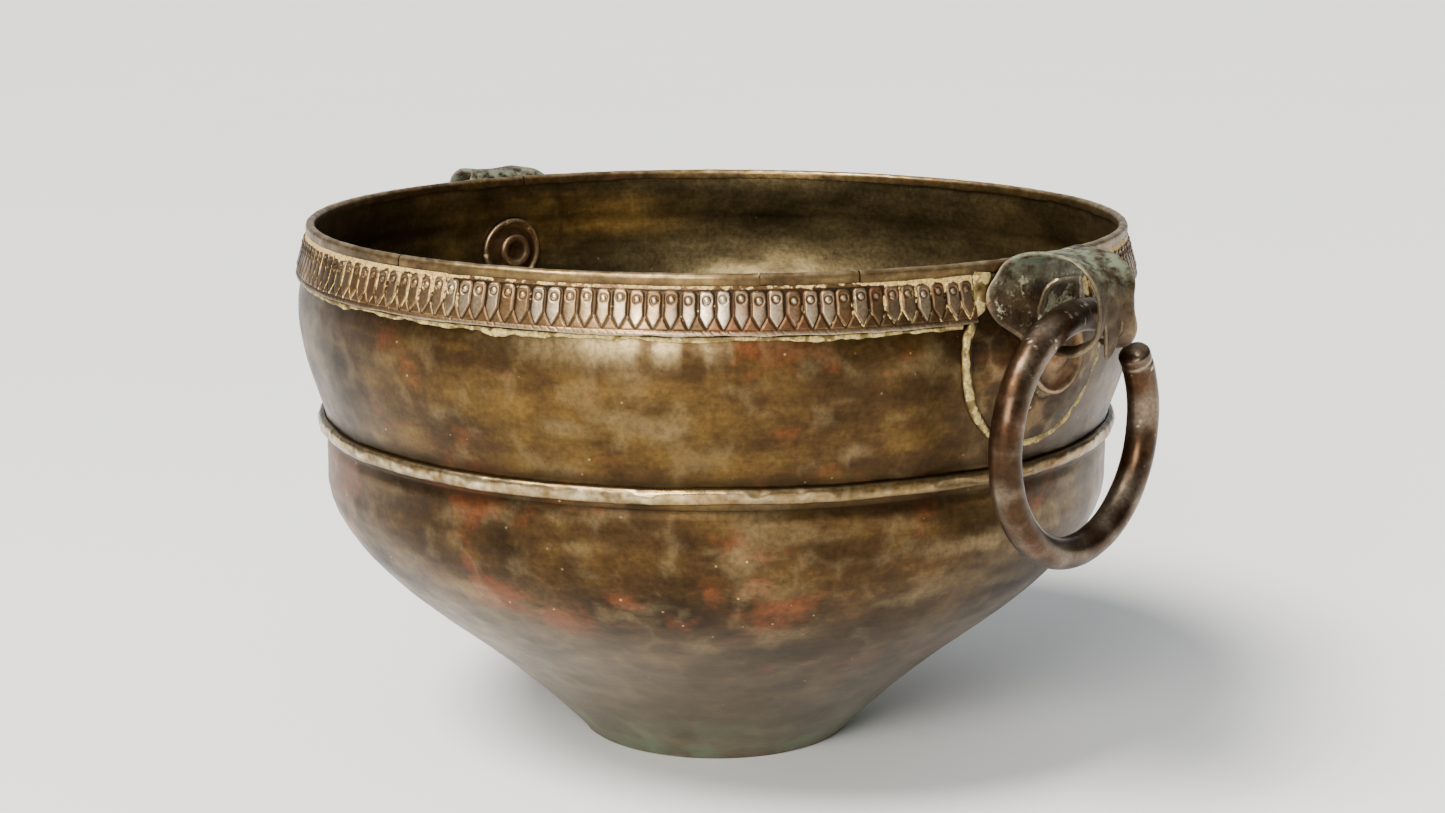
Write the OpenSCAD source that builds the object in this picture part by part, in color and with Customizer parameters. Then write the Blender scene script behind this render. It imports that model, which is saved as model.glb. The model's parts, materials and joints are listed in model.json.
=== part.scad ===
// Hammered brass bowl with a waist seam, an ornamented frieze band and two
// open ring handles, each hung from a hooded strap riveted under the rim.
// Millimetres. Z is up, the origin is the centre of the flat base, and the
// right-hand lug stands on +X.

/* [Bowl] */
// Outside diameter over the rim strip
rim_d = 400; // [384:1:416]
// Height from the base to the top of the rim strip
bowl_h = 258.6; // [252:0.2:266]
// Diameter of the flat base
foot_d = 134; // [124:1:144]
// Height of the waist seam
waist_h = 162.4; // [158:0.2:166]
// Thickness of the hammered sheet
sheet_t = 2; // [1.6:0.1:2.4]

/* [Rim and frieze] */
// Height of the rim strip's two legs
rim_leg = 5.2; // [4.6:0.1:5.6]
// Thickness of the rim strip
rim_strip_t = 1.2; // [0.9:0.1:1.4]
// Height of the frieze band
frieze_h = 20.4; // [18:0.2:22]
// Thickness of the frieze band
frieze_t = 1.2; // [0.8:0.1:1.4]
// How far the band's lower edge stands off the wall
frieze_lift = 1.6; // [0.6:0.1:2.4]

/* [Lugs] */
// Angle from the right-hand lug to the left-hand one
left_lug_angle = 171; // [168:1:180]
// Height of the rivets below the rim
rivet_drop = 41.6; // [40:0.2:43]
// Thickness of the leaf-shaped plate on the wall
plate_t = 1.6; // [1.2:0.1:2]
// Thickness of the hooded strap
strap_t = 3; // [2.4:0.1:3.2]
// Half width of the hood at its outermost
hood_half_w = 12.5; // [11:0.5:14]
// Shank radius of the rivets
rivet_r = 4; // [3:0.5:5]

/* [Rings] */
// Mean radius of a ring handle
ring_r = 52.5; // [50:0.5:54]
// Radius of the ring's round bar
bar_r = 7.3; // [6.5:0.1:7.5]
// Angle of the gap in the open ring
ring_gap = 26; // [20:1:32]
// How far each ring hangs askew, turned about the upright through its hinge
ring_askew = 3.5; // [0:0.5:4]

/* [Hidden] */
rim_strips = 5;
lug_sides = ["right", "left"];
$fn = 96;

// Gap left for the braze between nested sheets
braze = 0.05;
rim_r = rim_d / 2;
foot_r = foot_d / 2;
// Radius of the wall just under the waist, and of the lapped skirt over it
shoulder_r = rim_r - 7.6;
skirt_r = shoulder_r + 1;
// Outside radius and top of the bare lip that the rim strip is folded over
lip_r = rim_r - rim_strip_t - braze;
lip_z = bowl_h - rim_strip_t - braze;
// Lower edge of the rim strip's legs, and of the frieze band
rim_low = bowl_h - rim_leg;
frieze_low = rim_low - 0.2 - frieze_h;
// Where each lug stands, round the bowl
lug_angles = [0, left_lug_angle];
// The frieze, and the solder run under it, stop this far each side of a lug
frieze_open = 11.2;
solder_open = 12.9;
// Ends of the rim strip's lengths, round the bowl
rim_joints = [-87.7, -38.9, -26.6, 0, left_lug_angle - 1.7, 272.3];
// Hairline between two lengths of rim strip
rim_joint_gap = 0.12;

brass_dark = "#5a4630";
brass_worn = "#8d7350";
brass_band = "#75583f";
solder_pale = "#b8a988";
bar_brown = "#4c3528";

// ---- curves -------------------------------------------------------------

// Points along a cubic curve with four control points
function curve(p, n = 12) =
    [for (i = [0:n]) let (t = i / n, s = 1 - t)
        s * s * s * p[0] + 3 * s * s * t * p[1] + 3 * s * t * t * p[2] + t * t * t * p[3]];

function without_first(p) = [for (i = [1:len(p) - 1]) p[i]];
function reversed(p) = [for (i = [len(p) - 1:-1:0]) p[i]];
function along(p, i) =
    let (d = p[min(i + 1, len(p) - 1)] - p[max(i - 1, 0)]) d / norm(d);

// The same path moved to its left by d
function beside(p, d) =
    [for (i = [0:len(p) - 1]) let (t = along(p, i)) p[i] + d * [-t[1], t[0]]];

// Outline of a sheet that lies between two distances to the left of a path
function sheet(p, near, far) = concat(beside(p, near), reversed(beside(p, far)));

// A half outline and its mirror image, closed across the second axis
function both_halves(p) = concat(p, [for (q = reversed(p)) if (q[0] > 0.001) [-q[0], q[1]]]);

// ---- bowl profile -------------------------------------------------------

// Outside of the lower shell: splayed foot, long flank, rounded shoulder
flank_r = foot_r + 70;
flank_z = waist_h - 98.4;
shoulder_z = waist_h - 22.4;
lower_outside = concat(
    curve([[foot_r, 0], [foot_r + 11, 13], [flank_r - 29, flank_z - 22], [flank_r, flank_z]]),
    without_first(curve([[flank_r, flank_z], [flank_r + 27, flank_z + 21],
                         [shoulder_r + 2.6, shoulder_z - 27], [shoulder_r, shoulder_z]])),
    [[shoulder_r + 0.2, waist_h - 12],
     [skirt_r - sheet_t - braze, waist_h - 6.8],
     [skirt_r - sheet_t - braze, waist_h + 4.4]]);

// Outside of the upper shell: lapped skirt, full belly, neck, upright lip
belly_r = rim_r + 4.8;
belly_z = bowl_h - 43.6;
neck_z = bowl_h - 8.6;
upper_outside = concat(
    [[skirt_r, waist_h - 6.2], [skirt_r, waist_h + 4.4]],
    without_first(curve([[skirt_r, waist_h + 4.4], [skirt_r + 2.6, waist_h + 14],
                         [belly_r - 0.3, belly_z - 20], [belly_r, belly_z]])),
    without_first(curve([[belly_r, belly_z], [belly_r + 0.2, belly_z + 16],
                         [lip_r + 0.6, neck_z - 12], [lip_r, neck_z]])),
    [[lip_r, lip_z]]);

// Outside radius of the upper shell at height z
function wall_r(z) = lookup(z, [for (p = upper_outside) [p[1], p[0]]]);

// The stretch of wall that the lugs lie on
skin_path = concat([for (p = upper_outside) if (p[1] > waist_h + 4 && p[1] < rim_low - 1) p],
                   [[lip_r, rim_low - 0.2]]);

// ---- lug layout, in the lug's own plane with +X outwards ----------------

rivet_z = bowl_h - rivet_drop;
hinge_r = rim_r + 25;
hinge_z = bowl_h - 23.6;
ring_z = hinge_z - ring_r;
// Radii of the faces that are stacked at a rivet
plate_face = wall_r(rivet_z) + braze + plate_t;
leaf_t = 2;
tongue_t = 2.2;
tongue_back = plate_face + 2 * braze + leaf_t;
tongue_face = tongue_back + tongue_t;
rove_d = 36;
// Flat face of the rove, which nearly meets the curved wall at its edge
rove_gap = 0.2;
rove_seat = min([for (a = [0:10:350])
    let (inside = wall_r(rivet_z + rove_d / 2 * sin(a)) - sheet_t)
        sqrt(pow(inside, 2) - pow(rove_d / 2 * cos(a), 2))]) - rove_gap;
rivet_head_d = 37;

function lug_point(x, z) = [rim_r + x, bowl_h + z];

// Hood: up the wall, out over the bar, down the front and in below it
hood_front = 41.5;
hood_split = -17.6;
hood_path = concat(
    curve([lug_point(2.3, -13), lug_point(2.3, -2.6), lug_point(7, 1.8), lug_point(17, 1.8)]),
    without_first(curve([lug_point(17, 1.8), lug_point(33, 1.8), lug_point(hood_front, -6),
                         lug_point(hood_front, hood_split)])),
    without_first(curve([lug_point(hood_front, hood_split), lug_point(hood_front, -30),
                         lug_point(29, -37.5), lug_point(18, -32)])));
// Beak: on down from the hood's front, leaning in a little
beak_path = curve([lug_point(hood_front, hood_split), lug_point(hood_front, -27),
                   lug_point(hood_front - 1, -34), lug_point(hood_front - 4, -42)], 6);
// The hood is also crowned across its width, about a line this far below the rim
crown_drop = 72;

// ---- building blocks ----------------------------------------------------

module revolved(outline) { rotate_extrude() polygon(outline); }

module revolved_arc(outline, from, to) {
    rotate([0, 0, from]) rotate_extrude(angle = to - from) polygon(outline);
}

// Outline drawn as seen from outside the lug, pushed through it along X
module through_lug(outline) {
    translate([rim_r - 40, 0, 0]) rotate([90, 0, 90]) linear_extrude(120) polygon(outline);
}

// Sheet that follows the wall beside a lug, between two distances from it
module wall_skin(near, far) {
    revolved_arc(sheet(skin_path, -near, -far), -18, 18);
}

// Sheet along a path in the lug's own plane, crowned across its width
module crowned_sheet(path) {
    half_angle = 32;
    axis_z = bowl_h - crown_drop;
    outline = [for (p = sheet(path, -strap_t / 2, strap_t / 2)) [p[1] - axis_z, p[0]]];
    translate([0, 0, axis_z]) rotate([0, 90, 0]) rotate([0, 0, 180 - half_angle])
        rotate_extrude(angle = 2 * half_angle) polygon(outline);
}

module at_lug(side) { rotate([0, 0, lug_angles[side]]) children(); }

// Disc on a rivet, turned about the rivet's axis, from a half section
module on_rivet_axis(face_r, outline) {
    translate([face_r, 0, rivet_z]) rotate([0, 90, 0]) rotate_extrude() polygon(outline);
}

module rivet_hole() {
    translate([rim_r - 20, 0, rivet_z]) rotate([0, 90, 0]) cylinder(r = rivet_r + braze, h = 60);
}

// ---- bowl ---------------------------------------------------------------

module lower_shell() {
    inside = [for (p = beside(lower_outside, sheet_t)) if (p[1] > sheet_t) p];
    color(brass_dark)
        revolved(concat([[0, 0]], lower_outside, reversed(inside),
                        [[foot_r - sheet_t / 2, sheet_t], [0, sheet_t]]));
}

module upper_shell() {
    color(brass_dark) difference() {
        revolved(sheet(upper_outside, 0, sheet_t));
        for (side = [0, 1]) at_lug(side) rivet_hole();
    }
}

// Half-round hoop over the lapped seam
module waist_bead() {
    bead_r = 3.8;
    color(brass_worn)
        revolved([for (a = [-90:10:90])
            [skirt_r + braze + bead_r * cos(a), waist_h - 0.2 + bead_r * sin(a)]]);
}

// One length of sheet folded over the lip, half round on top
module rim_strip(i) {
    mid_r = rim_r - rim_strip_t - braze - sheet_t / 2;
    half_w = sheet_t / 2 + braze + rim_strip_t;
    top_arc = [for (a = [0:15:180])
        [mid_r + half_w * cos(a), bowl_h - half_w + half_w * sin(a)]];
    gutter = sheet_t / 2 + braze;
    outline = concat(top_arc, [[mid_r - half_w, rim_low], [mid_r - gutter, rim_low],
                               [mid_r - gutter, lip_z + braze], [mid_r + gutter, lip_z + braze],
                               [mid_r + gutter, rim_low], [mid_r + half_w, rim_low]]);
    color(brass_worn)
        revolved_arc(outline, rim_joints[i] + rim_joint_gap, rim_joints[i + 1] - rim_joint_gap);
}

// ---- frieze -------------------------------------------------------------

// Band that hangs from under the rim strip and flares off the wall below
module frieze(arc) {
    top = rim_low - 0.2;
    top_r = wall_r(top) + braze;
    low_r = wall_r(frieze_low) + frieze_lift;
    band_path = curve([[low_r, frieze_low], [low_r - 0.8, frieze_low + frieze_h * 0.3],
                       [top_r + 0.9, top - frieze_h * 0.3], [top_r, top]], 8);
    color(brass_band) revolved_arc(sheet(band_path, 0, -frieze_t), arc[0], arc[1]);
}

// Low run of solder on the wall just below the band
module frieze_solder(arc) {
    high = frieze_low - 0.3;
    low = frieze_low - 3.6;
    mid = (high + low) / 2;
    color(solder_pale)
        revolved_arc([[wall_r(low) + braze, low], [wall_r(mid) + 1.1, mid + 0.5],
                      [wall_r(high) + 1.2, high], [wall_r(high) + braze, high],
                      [wall_r(mid) + braze, mid]], arc[0], arc[1]);
}

// Start and end of an arc that stops short of both lugs, in front and behind
function front_arc(open) = [left_lug_angle + open, 360 - open];
function back_arc(open) = [open, left_lug_angle - open];

// ---- lugs ---------------------------------------------------------------

// Leaf outline of the plate, grown outwards by grow
function leaf_outline(grow) =
    let (low = bowl_h - 82 - grow, mid = bowl_h - 40.6, top = rim_low - 0.6, half = 44 + grow,
         neck = 37 + grow)
    both_halves(concat(
        curve([[0, low], [30 + grow, low], [half + 1, mid - 26], [half, mid]]),
        without_first(curve([[half, mid], [half + 0.5, mid + 11], [neck, mid + 11],
                             [neck, mid + 22]])),
        [[neck - 3, top]]));

module lug_plate(side) {
    color(brass_dark) at_lug(side) difference() {
        intersection() {
            wall_skin(braze, braze + plate_t);
            through_lug(leaf_outline(0));
        }
        rivet_hole();
    }
}

// Pale border of solder run round the edge of the leaf plate
module lug_solder(side) {
    color(solder_pale) at_lug(side) difference() {
        intersection() {
            wall_skin(braze, braze + 1.1);
            through_lug(leaf_outline(4));
        }
        through_lug(leaf_outline(braze));
        for (away = [-1, 1]) rotate([0, 0, away * (frieze_open + 10)])
            translate([rim_r - 30, -rim_r * sin(10), frieze_low - 0.2])
                cube([60, 2 * rim_r * sin(10), 60]);
    }
}

// Outline of the hood seen from above, over and below the bar
module hood_plan() {
    front_x = rim_r + 54;
    lobe_w = hood_half_w + 4.5;
    edge = concat(curve([[rim_r - 8, 31], [rim_r + 10, 30], [rim_r + 8, hood_half_w + 2],
                         [rim_r + 20, hood_half_w + 1]]), [[front_x, hood_half_w]]);
    lobe = [[front_x, hood_half_w], [rim_r + 37, hood_half_w + 1], [rim_r + 31, lobe_w],
            [rim_r + 24, lobe_w - 0.5], [rim_r + 16, lobe_w - 5], [rim_r + 24, 7], [front_x, 6]];
    split_z = bowl_h + hood_split;
    translate([0, 0, split_z])
        linear_extrude(40) polygon(concat(edge, [for (p = reversed(edge)) [p[0], -p[1]]]));
    for (away = [-1, 1]) translate([0, 0, split_z - 40])
        linear_extrude(40.01) polygon([for (p = lobe) [p[0], away * p[1]]]);
}

// Back leaf against the plate, folded out at the top into the hood
module hood_strap(side) {
    dome_r = 70;
    leaf_face = plate_face + braze + leaf_t;
    back_leaf = both_halves(concat(
        curve([[0, rivet_z - 20], [9, rivet_z - 20], [13, rivet_z - 12], [12, rivet_z + 4]], 8),
        without_first(curve([[12, rivet_z + 4], [16, rivet_z + 9], [36, rivet_z + 13],
                             [36, rivet_z + 26]], 8)),
        without_first(curve([[36, rivet_z + 26], [36, rivet_z + 31], [33, rim_low - 3],
                             [29, rim_low - 0.6]], 4))));
    color(brass_worn) at_lug(side) difference() {
        union() {
            intersection() {
                wall_skin(plate_t + 2 * braze, plate_t + 2 * braze + leaf_t);
                through_lug(back_leaf);
            }
            intersection() {
                wall_skin(plate_t + 2 * braze, plate_t + 2 * braze + 9);
                translate([leaf_face - 0.3 - dome_r, 0, rivet_z + 22]) sphere(r = dome_r);
                through_lug(back_leaf);
            }
            intersection() {
                crowned_sheet(hood_path);
                difference() {
                    hood_plan();
                    revolved([[rim_r - 60, rivet_z - 30], [lip_r + plate_t + 0.3, rivet_z - 30],
                              [lip_r + plate_t + 0.3, bowl_h + 12], [rim_r - 60, bowl_h + 12]]);
                }
            }
            intersection() {
                crowned_sheet(beak_path);
                through_lug([[-hood_half_w, bowl_h + hood_split + 0.5], [-hood_half_w, bowl_h - 27],
                             [-1.5, bowl_h - 42.5], [1.5, bowl_h - 42.5],
                             [hood_half_w, bowl_h - 27], [hood_half_w, bowl_h + hood_split + 0.5]]);
            }
        }
        rivet_hole();
    }
}

// Curled strip behind the bar, held down by the rivet
module bearing_tongue(side) {
    mid_r = (tongue_back + tongue_face) / 2;
    path = concat([[mid_r, rivet_z - 15], [mid_r, rivet_z + 21]],
                  without_first(curve([[mid_r, rivet_z + 21], [mid_r, rivet_z + 27],
                                       [mid_r + 1, rivet_z + 31], [mid_r + 3.6, rivet_z + 33.5]], 6)));
    outline = both_halves(concat(
        curve([[0, rivet_z - 15], [8, rivet_z - 15], [12, rivet_z - 8], [12, rivet_z + 1]], 8),
        without_first(curve([[12, rivet_z + 1], [12, rivet_z + 16], [15, rivet_z + 22],
                             [9, rivet_z + 35]], 8))));
    color(brass_worn) at_lug(side) difference() {
        intersection() {
            rotate([90, 0, 0]) linear_extrude(40, center = true)
                polygon(sheet(path, -tongue_t / 2, tongue_t / 2));
            through_lug(outline);
        }
        rivet_hole();
    }
}

// Dished outer head, shank through the wall, and the peened nub inside
module rivet(side) {
    head_r = rivet_head_d / 2;
    nub_r = 9.3;
    inner_r = rove_seat - 2;
    head = concat([[0, 0], [head_r, 0], [head_r, 1.6], [head_r - 1, 2.4], [head_r - 2.4, 2.2],
                   [12.5, 1.3]],
                  [for (a = [0:15:90]) [8.5 * cos(a), 1.2 + 2.4 * sin(a)]]);
    nub = [for (a = [0:15:90]) [nub_r * cos(a), -2.6 * sin(a)]];
    color(brass_dark) at_lug(side) {
        on_rivet_axis(tongue_face + braze, head);
        on_rivet_axis(inner_r, concat([[0, 0]], nub));
        translate([inner_r - 0.01, 0, rivet_z]) rotate([0, 90, 0])
            cylinder(r = rivet_r, h = tongue_face - inner_r + braze + 0.02);
    }
}

// Dished washer inside the wall, that the rivet is peened over
module rove(side) {
    half_d = rove_d / 2;
    color(brass_worn) at_lug(side)
        on_rivet_axis(rove_seat, [[rivet_r + braze, 0], [half_d, 0], [half_d, -1.6], [half_d - 1, -2.6],
                               [half_d - 2.6, -2.6], [half_d - 4, -1.9], [rivet_r + braze, -1.95]]);
}

// ---- rings --------------------------------------------------------------

// Open ring of round bar with domed ends, hanging from the hood
module ring(side) {
    gap_start = 34;
    core_r = bar_r * 0.6;
    dome = concat([[0, -1], [core_r, -1], [core_r, 0]],
                  [for (a = [0:15:90]) [bar_r * cos(a), 3.4 * sin(a)]]);
    color(bar_brown) at_lug(side) translate([hinge_r, 0, ring_z])
    rotate([0, 0, ring_askew]) rotate([90, 0, 90]) {
        rotate([0, 0, gap_start + ring_gap])
            rotate_extrude(angle = 360 - ring_gap) translate([ring_r, 0]) circle(r = bar_r, $fn = 48);
        rotate([0, 0, gap_start]) translate([ring_r, 0, 0]) rotate([-90, 0, 0])
            rotate_extrude($fn = 48) polygon(dome);
        rotate([0, 0, gap_start + ring_gap]) translate([ring_r, 0, 0]) rotate([90, 0, 0])
            rotate_extrude($fn = 48) polygon(dome);
    }
}

// ---- assembly -----------------------------------------------------------

lower_shell();
upper_shell();
waist_bead();
for (i = [0:rim_strips - 1])
    rim_strip(i);
frieze(front_arc(frieze_open));  // frieze_front
frieze(back_arc(frieze_open));  // frieze_back
frieze_solder(front_arc(solder_open));  // frieze_solder_front
frieze_solder(back_arc(solder_open));  // frieze_solder_back
for (side = [0, 1]) {
    lug_plate(side);
    lug_solder(side);
    hood_strap(side);
    bearing_tongue(side);
    rivet(side);
    rove(side);
    ring(side);
}
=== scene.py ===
"""Old hammered brass bowl with a waist seam, a punched frieze and two hooded ring handles.

The looks of the bowl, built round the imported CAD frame. Lengths inside the classes are
millimetres, and only the finished meshes are in metres.
"""

import json
import logging
import math
from dataclasses import dataclass, field
from enum import Enum

import bpy
import numpy as np
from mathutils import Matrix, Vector
from mathutils.bvhtree import BVHTree


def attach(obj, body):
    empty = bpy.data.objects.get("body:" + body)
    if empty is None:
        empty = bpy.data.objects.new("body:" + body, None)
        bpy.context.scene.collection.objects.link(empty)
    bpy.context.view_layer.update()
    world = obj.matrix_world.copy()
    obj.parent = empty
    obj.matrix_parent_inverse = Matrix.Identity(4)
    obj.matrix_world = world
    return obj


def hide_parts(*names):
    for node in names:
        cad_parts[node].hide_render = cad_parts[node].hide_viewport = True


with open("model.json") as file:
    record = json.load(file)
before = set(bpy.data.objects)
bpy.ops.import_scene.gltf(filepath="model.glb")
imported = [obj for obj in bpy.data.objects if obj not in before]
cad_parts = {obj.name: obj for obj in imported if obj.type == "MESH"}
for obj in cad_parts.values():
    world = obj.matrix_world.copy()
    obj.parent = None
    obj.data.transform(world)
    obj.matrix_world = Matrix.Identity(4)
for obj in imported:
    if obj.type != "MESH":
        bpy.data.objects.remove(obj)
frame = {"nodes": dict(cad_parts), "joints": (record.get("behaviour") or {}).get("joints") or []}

LOG = logging.getLogger("urli")
MM = 0.001
# Round radius of the wall, for unevenness that runs round the bowl
WALL_R = 200.0
# The grime attribute carries real dirt and also painted shade: under the band and along the frieze solder
# The rubbed attribute carries real wear and also painted highlights: below the band, on the bead's lit side
# and along the hood's edges
WEAR_AND_HIGHLIGHT, DIRT_AND_SHADE, DEPOSIT = "wear_and_highlight", "dirt_and_shade", "deposit"


class Side(Enum):
    """The two lugs, with each one's hinge and its seed for hand-made unevenness."""

    RIGHT = ("right", 11)
    LEFT = ("left", 29)

    @property
    def joint(self) -> dict:
        """The frame's joint that this side's ring swings on."""
        return next(j for j in frame["joints"] if j["name"] == f"{self.value[0]}_ring_swing")


class Face(Enum):
    """Which material slot of a shell a face takes."""

    OUTSIDE = 0
    INSIDE = 1


# ---- unevenness ---------------------------------------------------------------------


def chance(cell: np.ndarray, seed: int) -> np.ndarray:
    """Give each whole-numbered cell a value of its own.

    Args:
        cell: Whole numbers, three to a point, in the last axis.
        seed: Picks one set of values from many.

    Returns:
        Values from 0 to 1 that are the same on every run.
    """
    c = cell.astype(np.int64)
    h = (c[..., 0] * 73856093) ^ (c[..., 1] * 19349663) ^ (c[..., 2] * 83492791) ^ (seed * 26544357)
    h = ((h ^ (h >> 13)) * 1274126177) & 0xFFFFFFFF
    h = ((h ^ (h >> 16)) * 2246822519) & 0xFFFFFFFF
    return ((h ^ (h >> 15)) & 0xFFFFFF) / float(0x1000000)


def cloud(points: np.ndarray, size: float, seed: int, octaves: int = 1) -> np.ndarray:
    """Smooth unevenness through space.

    Args:
        points: Places in millimetres.
        size: Millimetres across one swelling.
        seed: Picks one cloud from many.
        octaves: How many finer layers are added, each half as strong.

    Returns:
        Values of about -1 to 1.
    """
    total = np.zeros(points.shape[:-1])
    for layer in range(octaves):
        q = points * (2**layer / size)
        base = np.floor(q)
        f = q - base
        f = f * f * (3 - 2 * f)
        for corner in np.ndindex(2, 2, 2):
            share = np.prod(np.where(np.array(corner) == 1, f, 1 - f), axis=-1)
            total += share * (2 * chance(base + corner, seed + layer) - 1) * 0.5**layer
    return total


def hammer_marks(points: np.ndarray, spacing: float, seed: int) -> np.ndarray:
    """Facets left by a planishing hammer.

    Args:
        points: Places in millimetres.
        spacing: Millimetres between neighbouring blows.
        seed: Picks one set of blows from many.

    Returns:
        0 in the middle of each mark, rising to about 1 on the ridge between marks.
    """
    q = points / spacing
    base = np.floor(q)
    nearest = np.full(points.shape[:-1], 9.0)
    for step in np.ndindex(3, 3, 3):
        at = base + np.array(step) - 1
        off = q - at
        gap = sum((off[..., k] - chance(at, seed + k)) ** 2 for k in range(3))
        nearest = np.minimum(nearest, gap)
    return np.minimum(nearest * 1.6, 1.0)


def ease(x: np.ndarray) -> np.ndarray:
    """Smooth step from 0 at 0 to 1 at 1."""
    x = np.clip(x, 0.0, 1.0)
    return x * x * (3 - 2 * x)


def spline(knots: np.ndarray, count: int) -> np.ndarray:
    """Evenly spaced points along a smooth line through the knots.

    Args:
        knots: Points that the line passes through, in the last two axes' order.
        count: How many points come back.

    Returns:
        An array of count points.
    """
    k = np.asarray(knots, float)
    ends = np.vstack([2 * k[0] - k[1], k, 2 * k[-1] - k[-2]])
    t = np.linspace(0, 1, 24, endpoint=False)[:, None]
    runs = []
    for a, b, c, d in zip(ends, ends[1:], ends[2:], ends[3:]):
        runs.append(0.5 * (2 * b + (c - a) * t + (2 * a - 5 * b + 4 * c - d) * t**2
                           + (3 * b - a - 3 * c + d) * t**3))
    fine = np.vstack(runs + [k[-1:]])
    far = np.concatenate([[0], np.cumsum(np.linalg.norm(np.diff(fine, axis=0), axis=1))])
    at = np.linspace(0, far[-1], count)
    return np.stack([np.interp(at, far, fine[:, i]) for i in range(k.shape[1])], -1)


def unit(v: np.ndarray) -> np.ndarray:
    """The same directions with length 1."""
    return v / np.maximum(np.linalg.norm(v, axis=-1, keepdims=True), 1e-9)


def turned_from(angle: np.ndarray, degrees: float) -> np.ndarray:
    """Radians from a bearing in degrees, the short way round."""
    return np.angle(np.exp(1j * (angle - math.radians(degrees))))


# ---- meshes -------------------------------------------------------------------------


@dataclass
class Solid:
    """Points and faces of one closed solid, with what the finish needs to know of each point."""

    points: np.ndarray
    faces: list
    values: dict = field(default_factory=dict)
    slots: list = field(default_factory=list)

    def piece(self, name: str, slot: str, materials: list, crease: float,
              body: str = "bowl") -> bpy.types.Object:
        """Make the mesh object, with its faces looking outwards, in place of its CAD node.

        Args:
            name: The piece's name, the same as its CAD node's.
            slot: A slot name for the record, not used.
            materials: Its materials, in the order of the faces' slots.
            crease: Edges sharper than this many degrees stay crisp.
            body: The body that it rides.

        Returns:
            The object, linked to the scene.
        """
        inside_out = self.volume() < 0
        faces = [list(reversed(f)) for f in self.faces] if inside_out else self.faces
        mesh = bpy.data.meshes.new(name)
        mesh.from_pydata((self.points * MM).tolist(), [], faces)
        for key in (WEAR_AND_HIGHLIGHT, DIRT_AND_SHADE, DEPOSIT):
            layer = mesh.attributes.new(key, "FLOAT", "POINT")
            value = self.values.get(key, np.zeros(len(self.points)))
            layer.data.foreach_set("value", np.clip(value, 0, 1).astype(np.float32))
        for m in materials:
            mesh.materials.append(m)
        mesh.polygons.foreach_set("use_smooth", np.ones(len(faces), bool))
        if self.slots:
            mesh.polygons.foreach_set("material_index", np.array(self.slots, np.int32))
        mesh.update()
        mesh.set_sharp_from_angle(angle=math.radians(crease))
        obj = bpy.data.objects.new(name, mesh)
        bpy.context.scene.collection.objects.link(obj)
        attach(obj, body)
        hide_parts(name)
        LOG.info("%s: %d points, %d faces", name, len(self.points), len(faces))
        return obj

    def volume(self) -> float:
        """Signed volume: negative where the faces look inwards."""
        total = 0.0
        by_size: dict = {}
        for f in self.faces:
            by_size.setdefault(len(f), []).append(f)
        for size, group in by_size.items():
            p = self.points[np.array(group)]
            for k in range(1, size - 1):
                total += float(np.einsum("ij,ij->i", p[:, 0], np.cross(p[:, k], p[:, k + 1])).sum())
        return total / 6


def strips(rows: int, cols: int, round_rows: bool, round_cols: bool) -> np.ndarray:
    """Four-sided faces between the rows and columns of a grid of points.

    Args:
        rows: Number of rows.
        cols: Number of columns.
        round_rows: Whether the last row joins the first.
        round_cols: Whether the last column joins the first.

    Returns:
        Point numbers, four to a face.
    """
    r, c = np.meshgrid(np.arange(rows if round_rows else rows - 1),
                       np.arange(cols if round_cols else cols - 1), indexing="ij")
    r2, c2 = (r + 1) % rows, (c + 1) % cols
    return np.stack([r * cols + c, r * cols + c2, r2 * cols + c2, r2 * cols + c], -1).reshape(-1, 4)


def swept(sections: np.ndarray, closed: bool, values: dict | None = None) -> Solid:
    """Solid through a row of closed outlines.

    Args:
        sections: Outlines, as rows of points.
        closed: Whether the last outline joins the first. Open ends are capped.
        values: What the finish needs to know, in the grid's own shape.

    Returns:
        The solid.
    """
    n, m = sections.shape[:2]
    faces = strips(n, m, closed, True).tolist()
    if not closed:
        faces += [list(range(m))[::-1], list(range((n - 1) * m, n * m))]
    return Solid(sections.reshape(-1, 3), faces, {k: v.reshape(-1) for k, v in (values or {}).items()})


def spun(rows: np.ndarray, values: dict | None = None) -> Solid:
    """Solid of full turns, whose first and last columns close on the axis.

    Args:
        rows: Points by angle and then along the half outline, axis to axis.
        values: What the finish needs to know, in the same shape.

    Returns:
        The solid.
    """
    n, m = rows.shape[:2]
    core = rows[:, 1:-1].reshape(-1, 3)
    points = np.vstack([core, rows[:, 0].mean(0), rows[:, -1].mean(0)])
    faces = strips(n, m - 2, True, False).tolist()
    first, last = n * (m - 2), n * (m - 2) + 1
    for i in range(n):
        a, b = i * (m - 2), ((i + 1) % n) * (m - 2)
        faces.append([first, a, b])
        faces.append([last, b + m - 3, a + m - 3])
    kept = {k: np.concatenate([v[:, 1:-1].reshape(-1), v[:1, 0], v[:1, -1]])
            for k, v in (values or {}).items()}
    return Solid(points, faces, kept)


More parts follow.
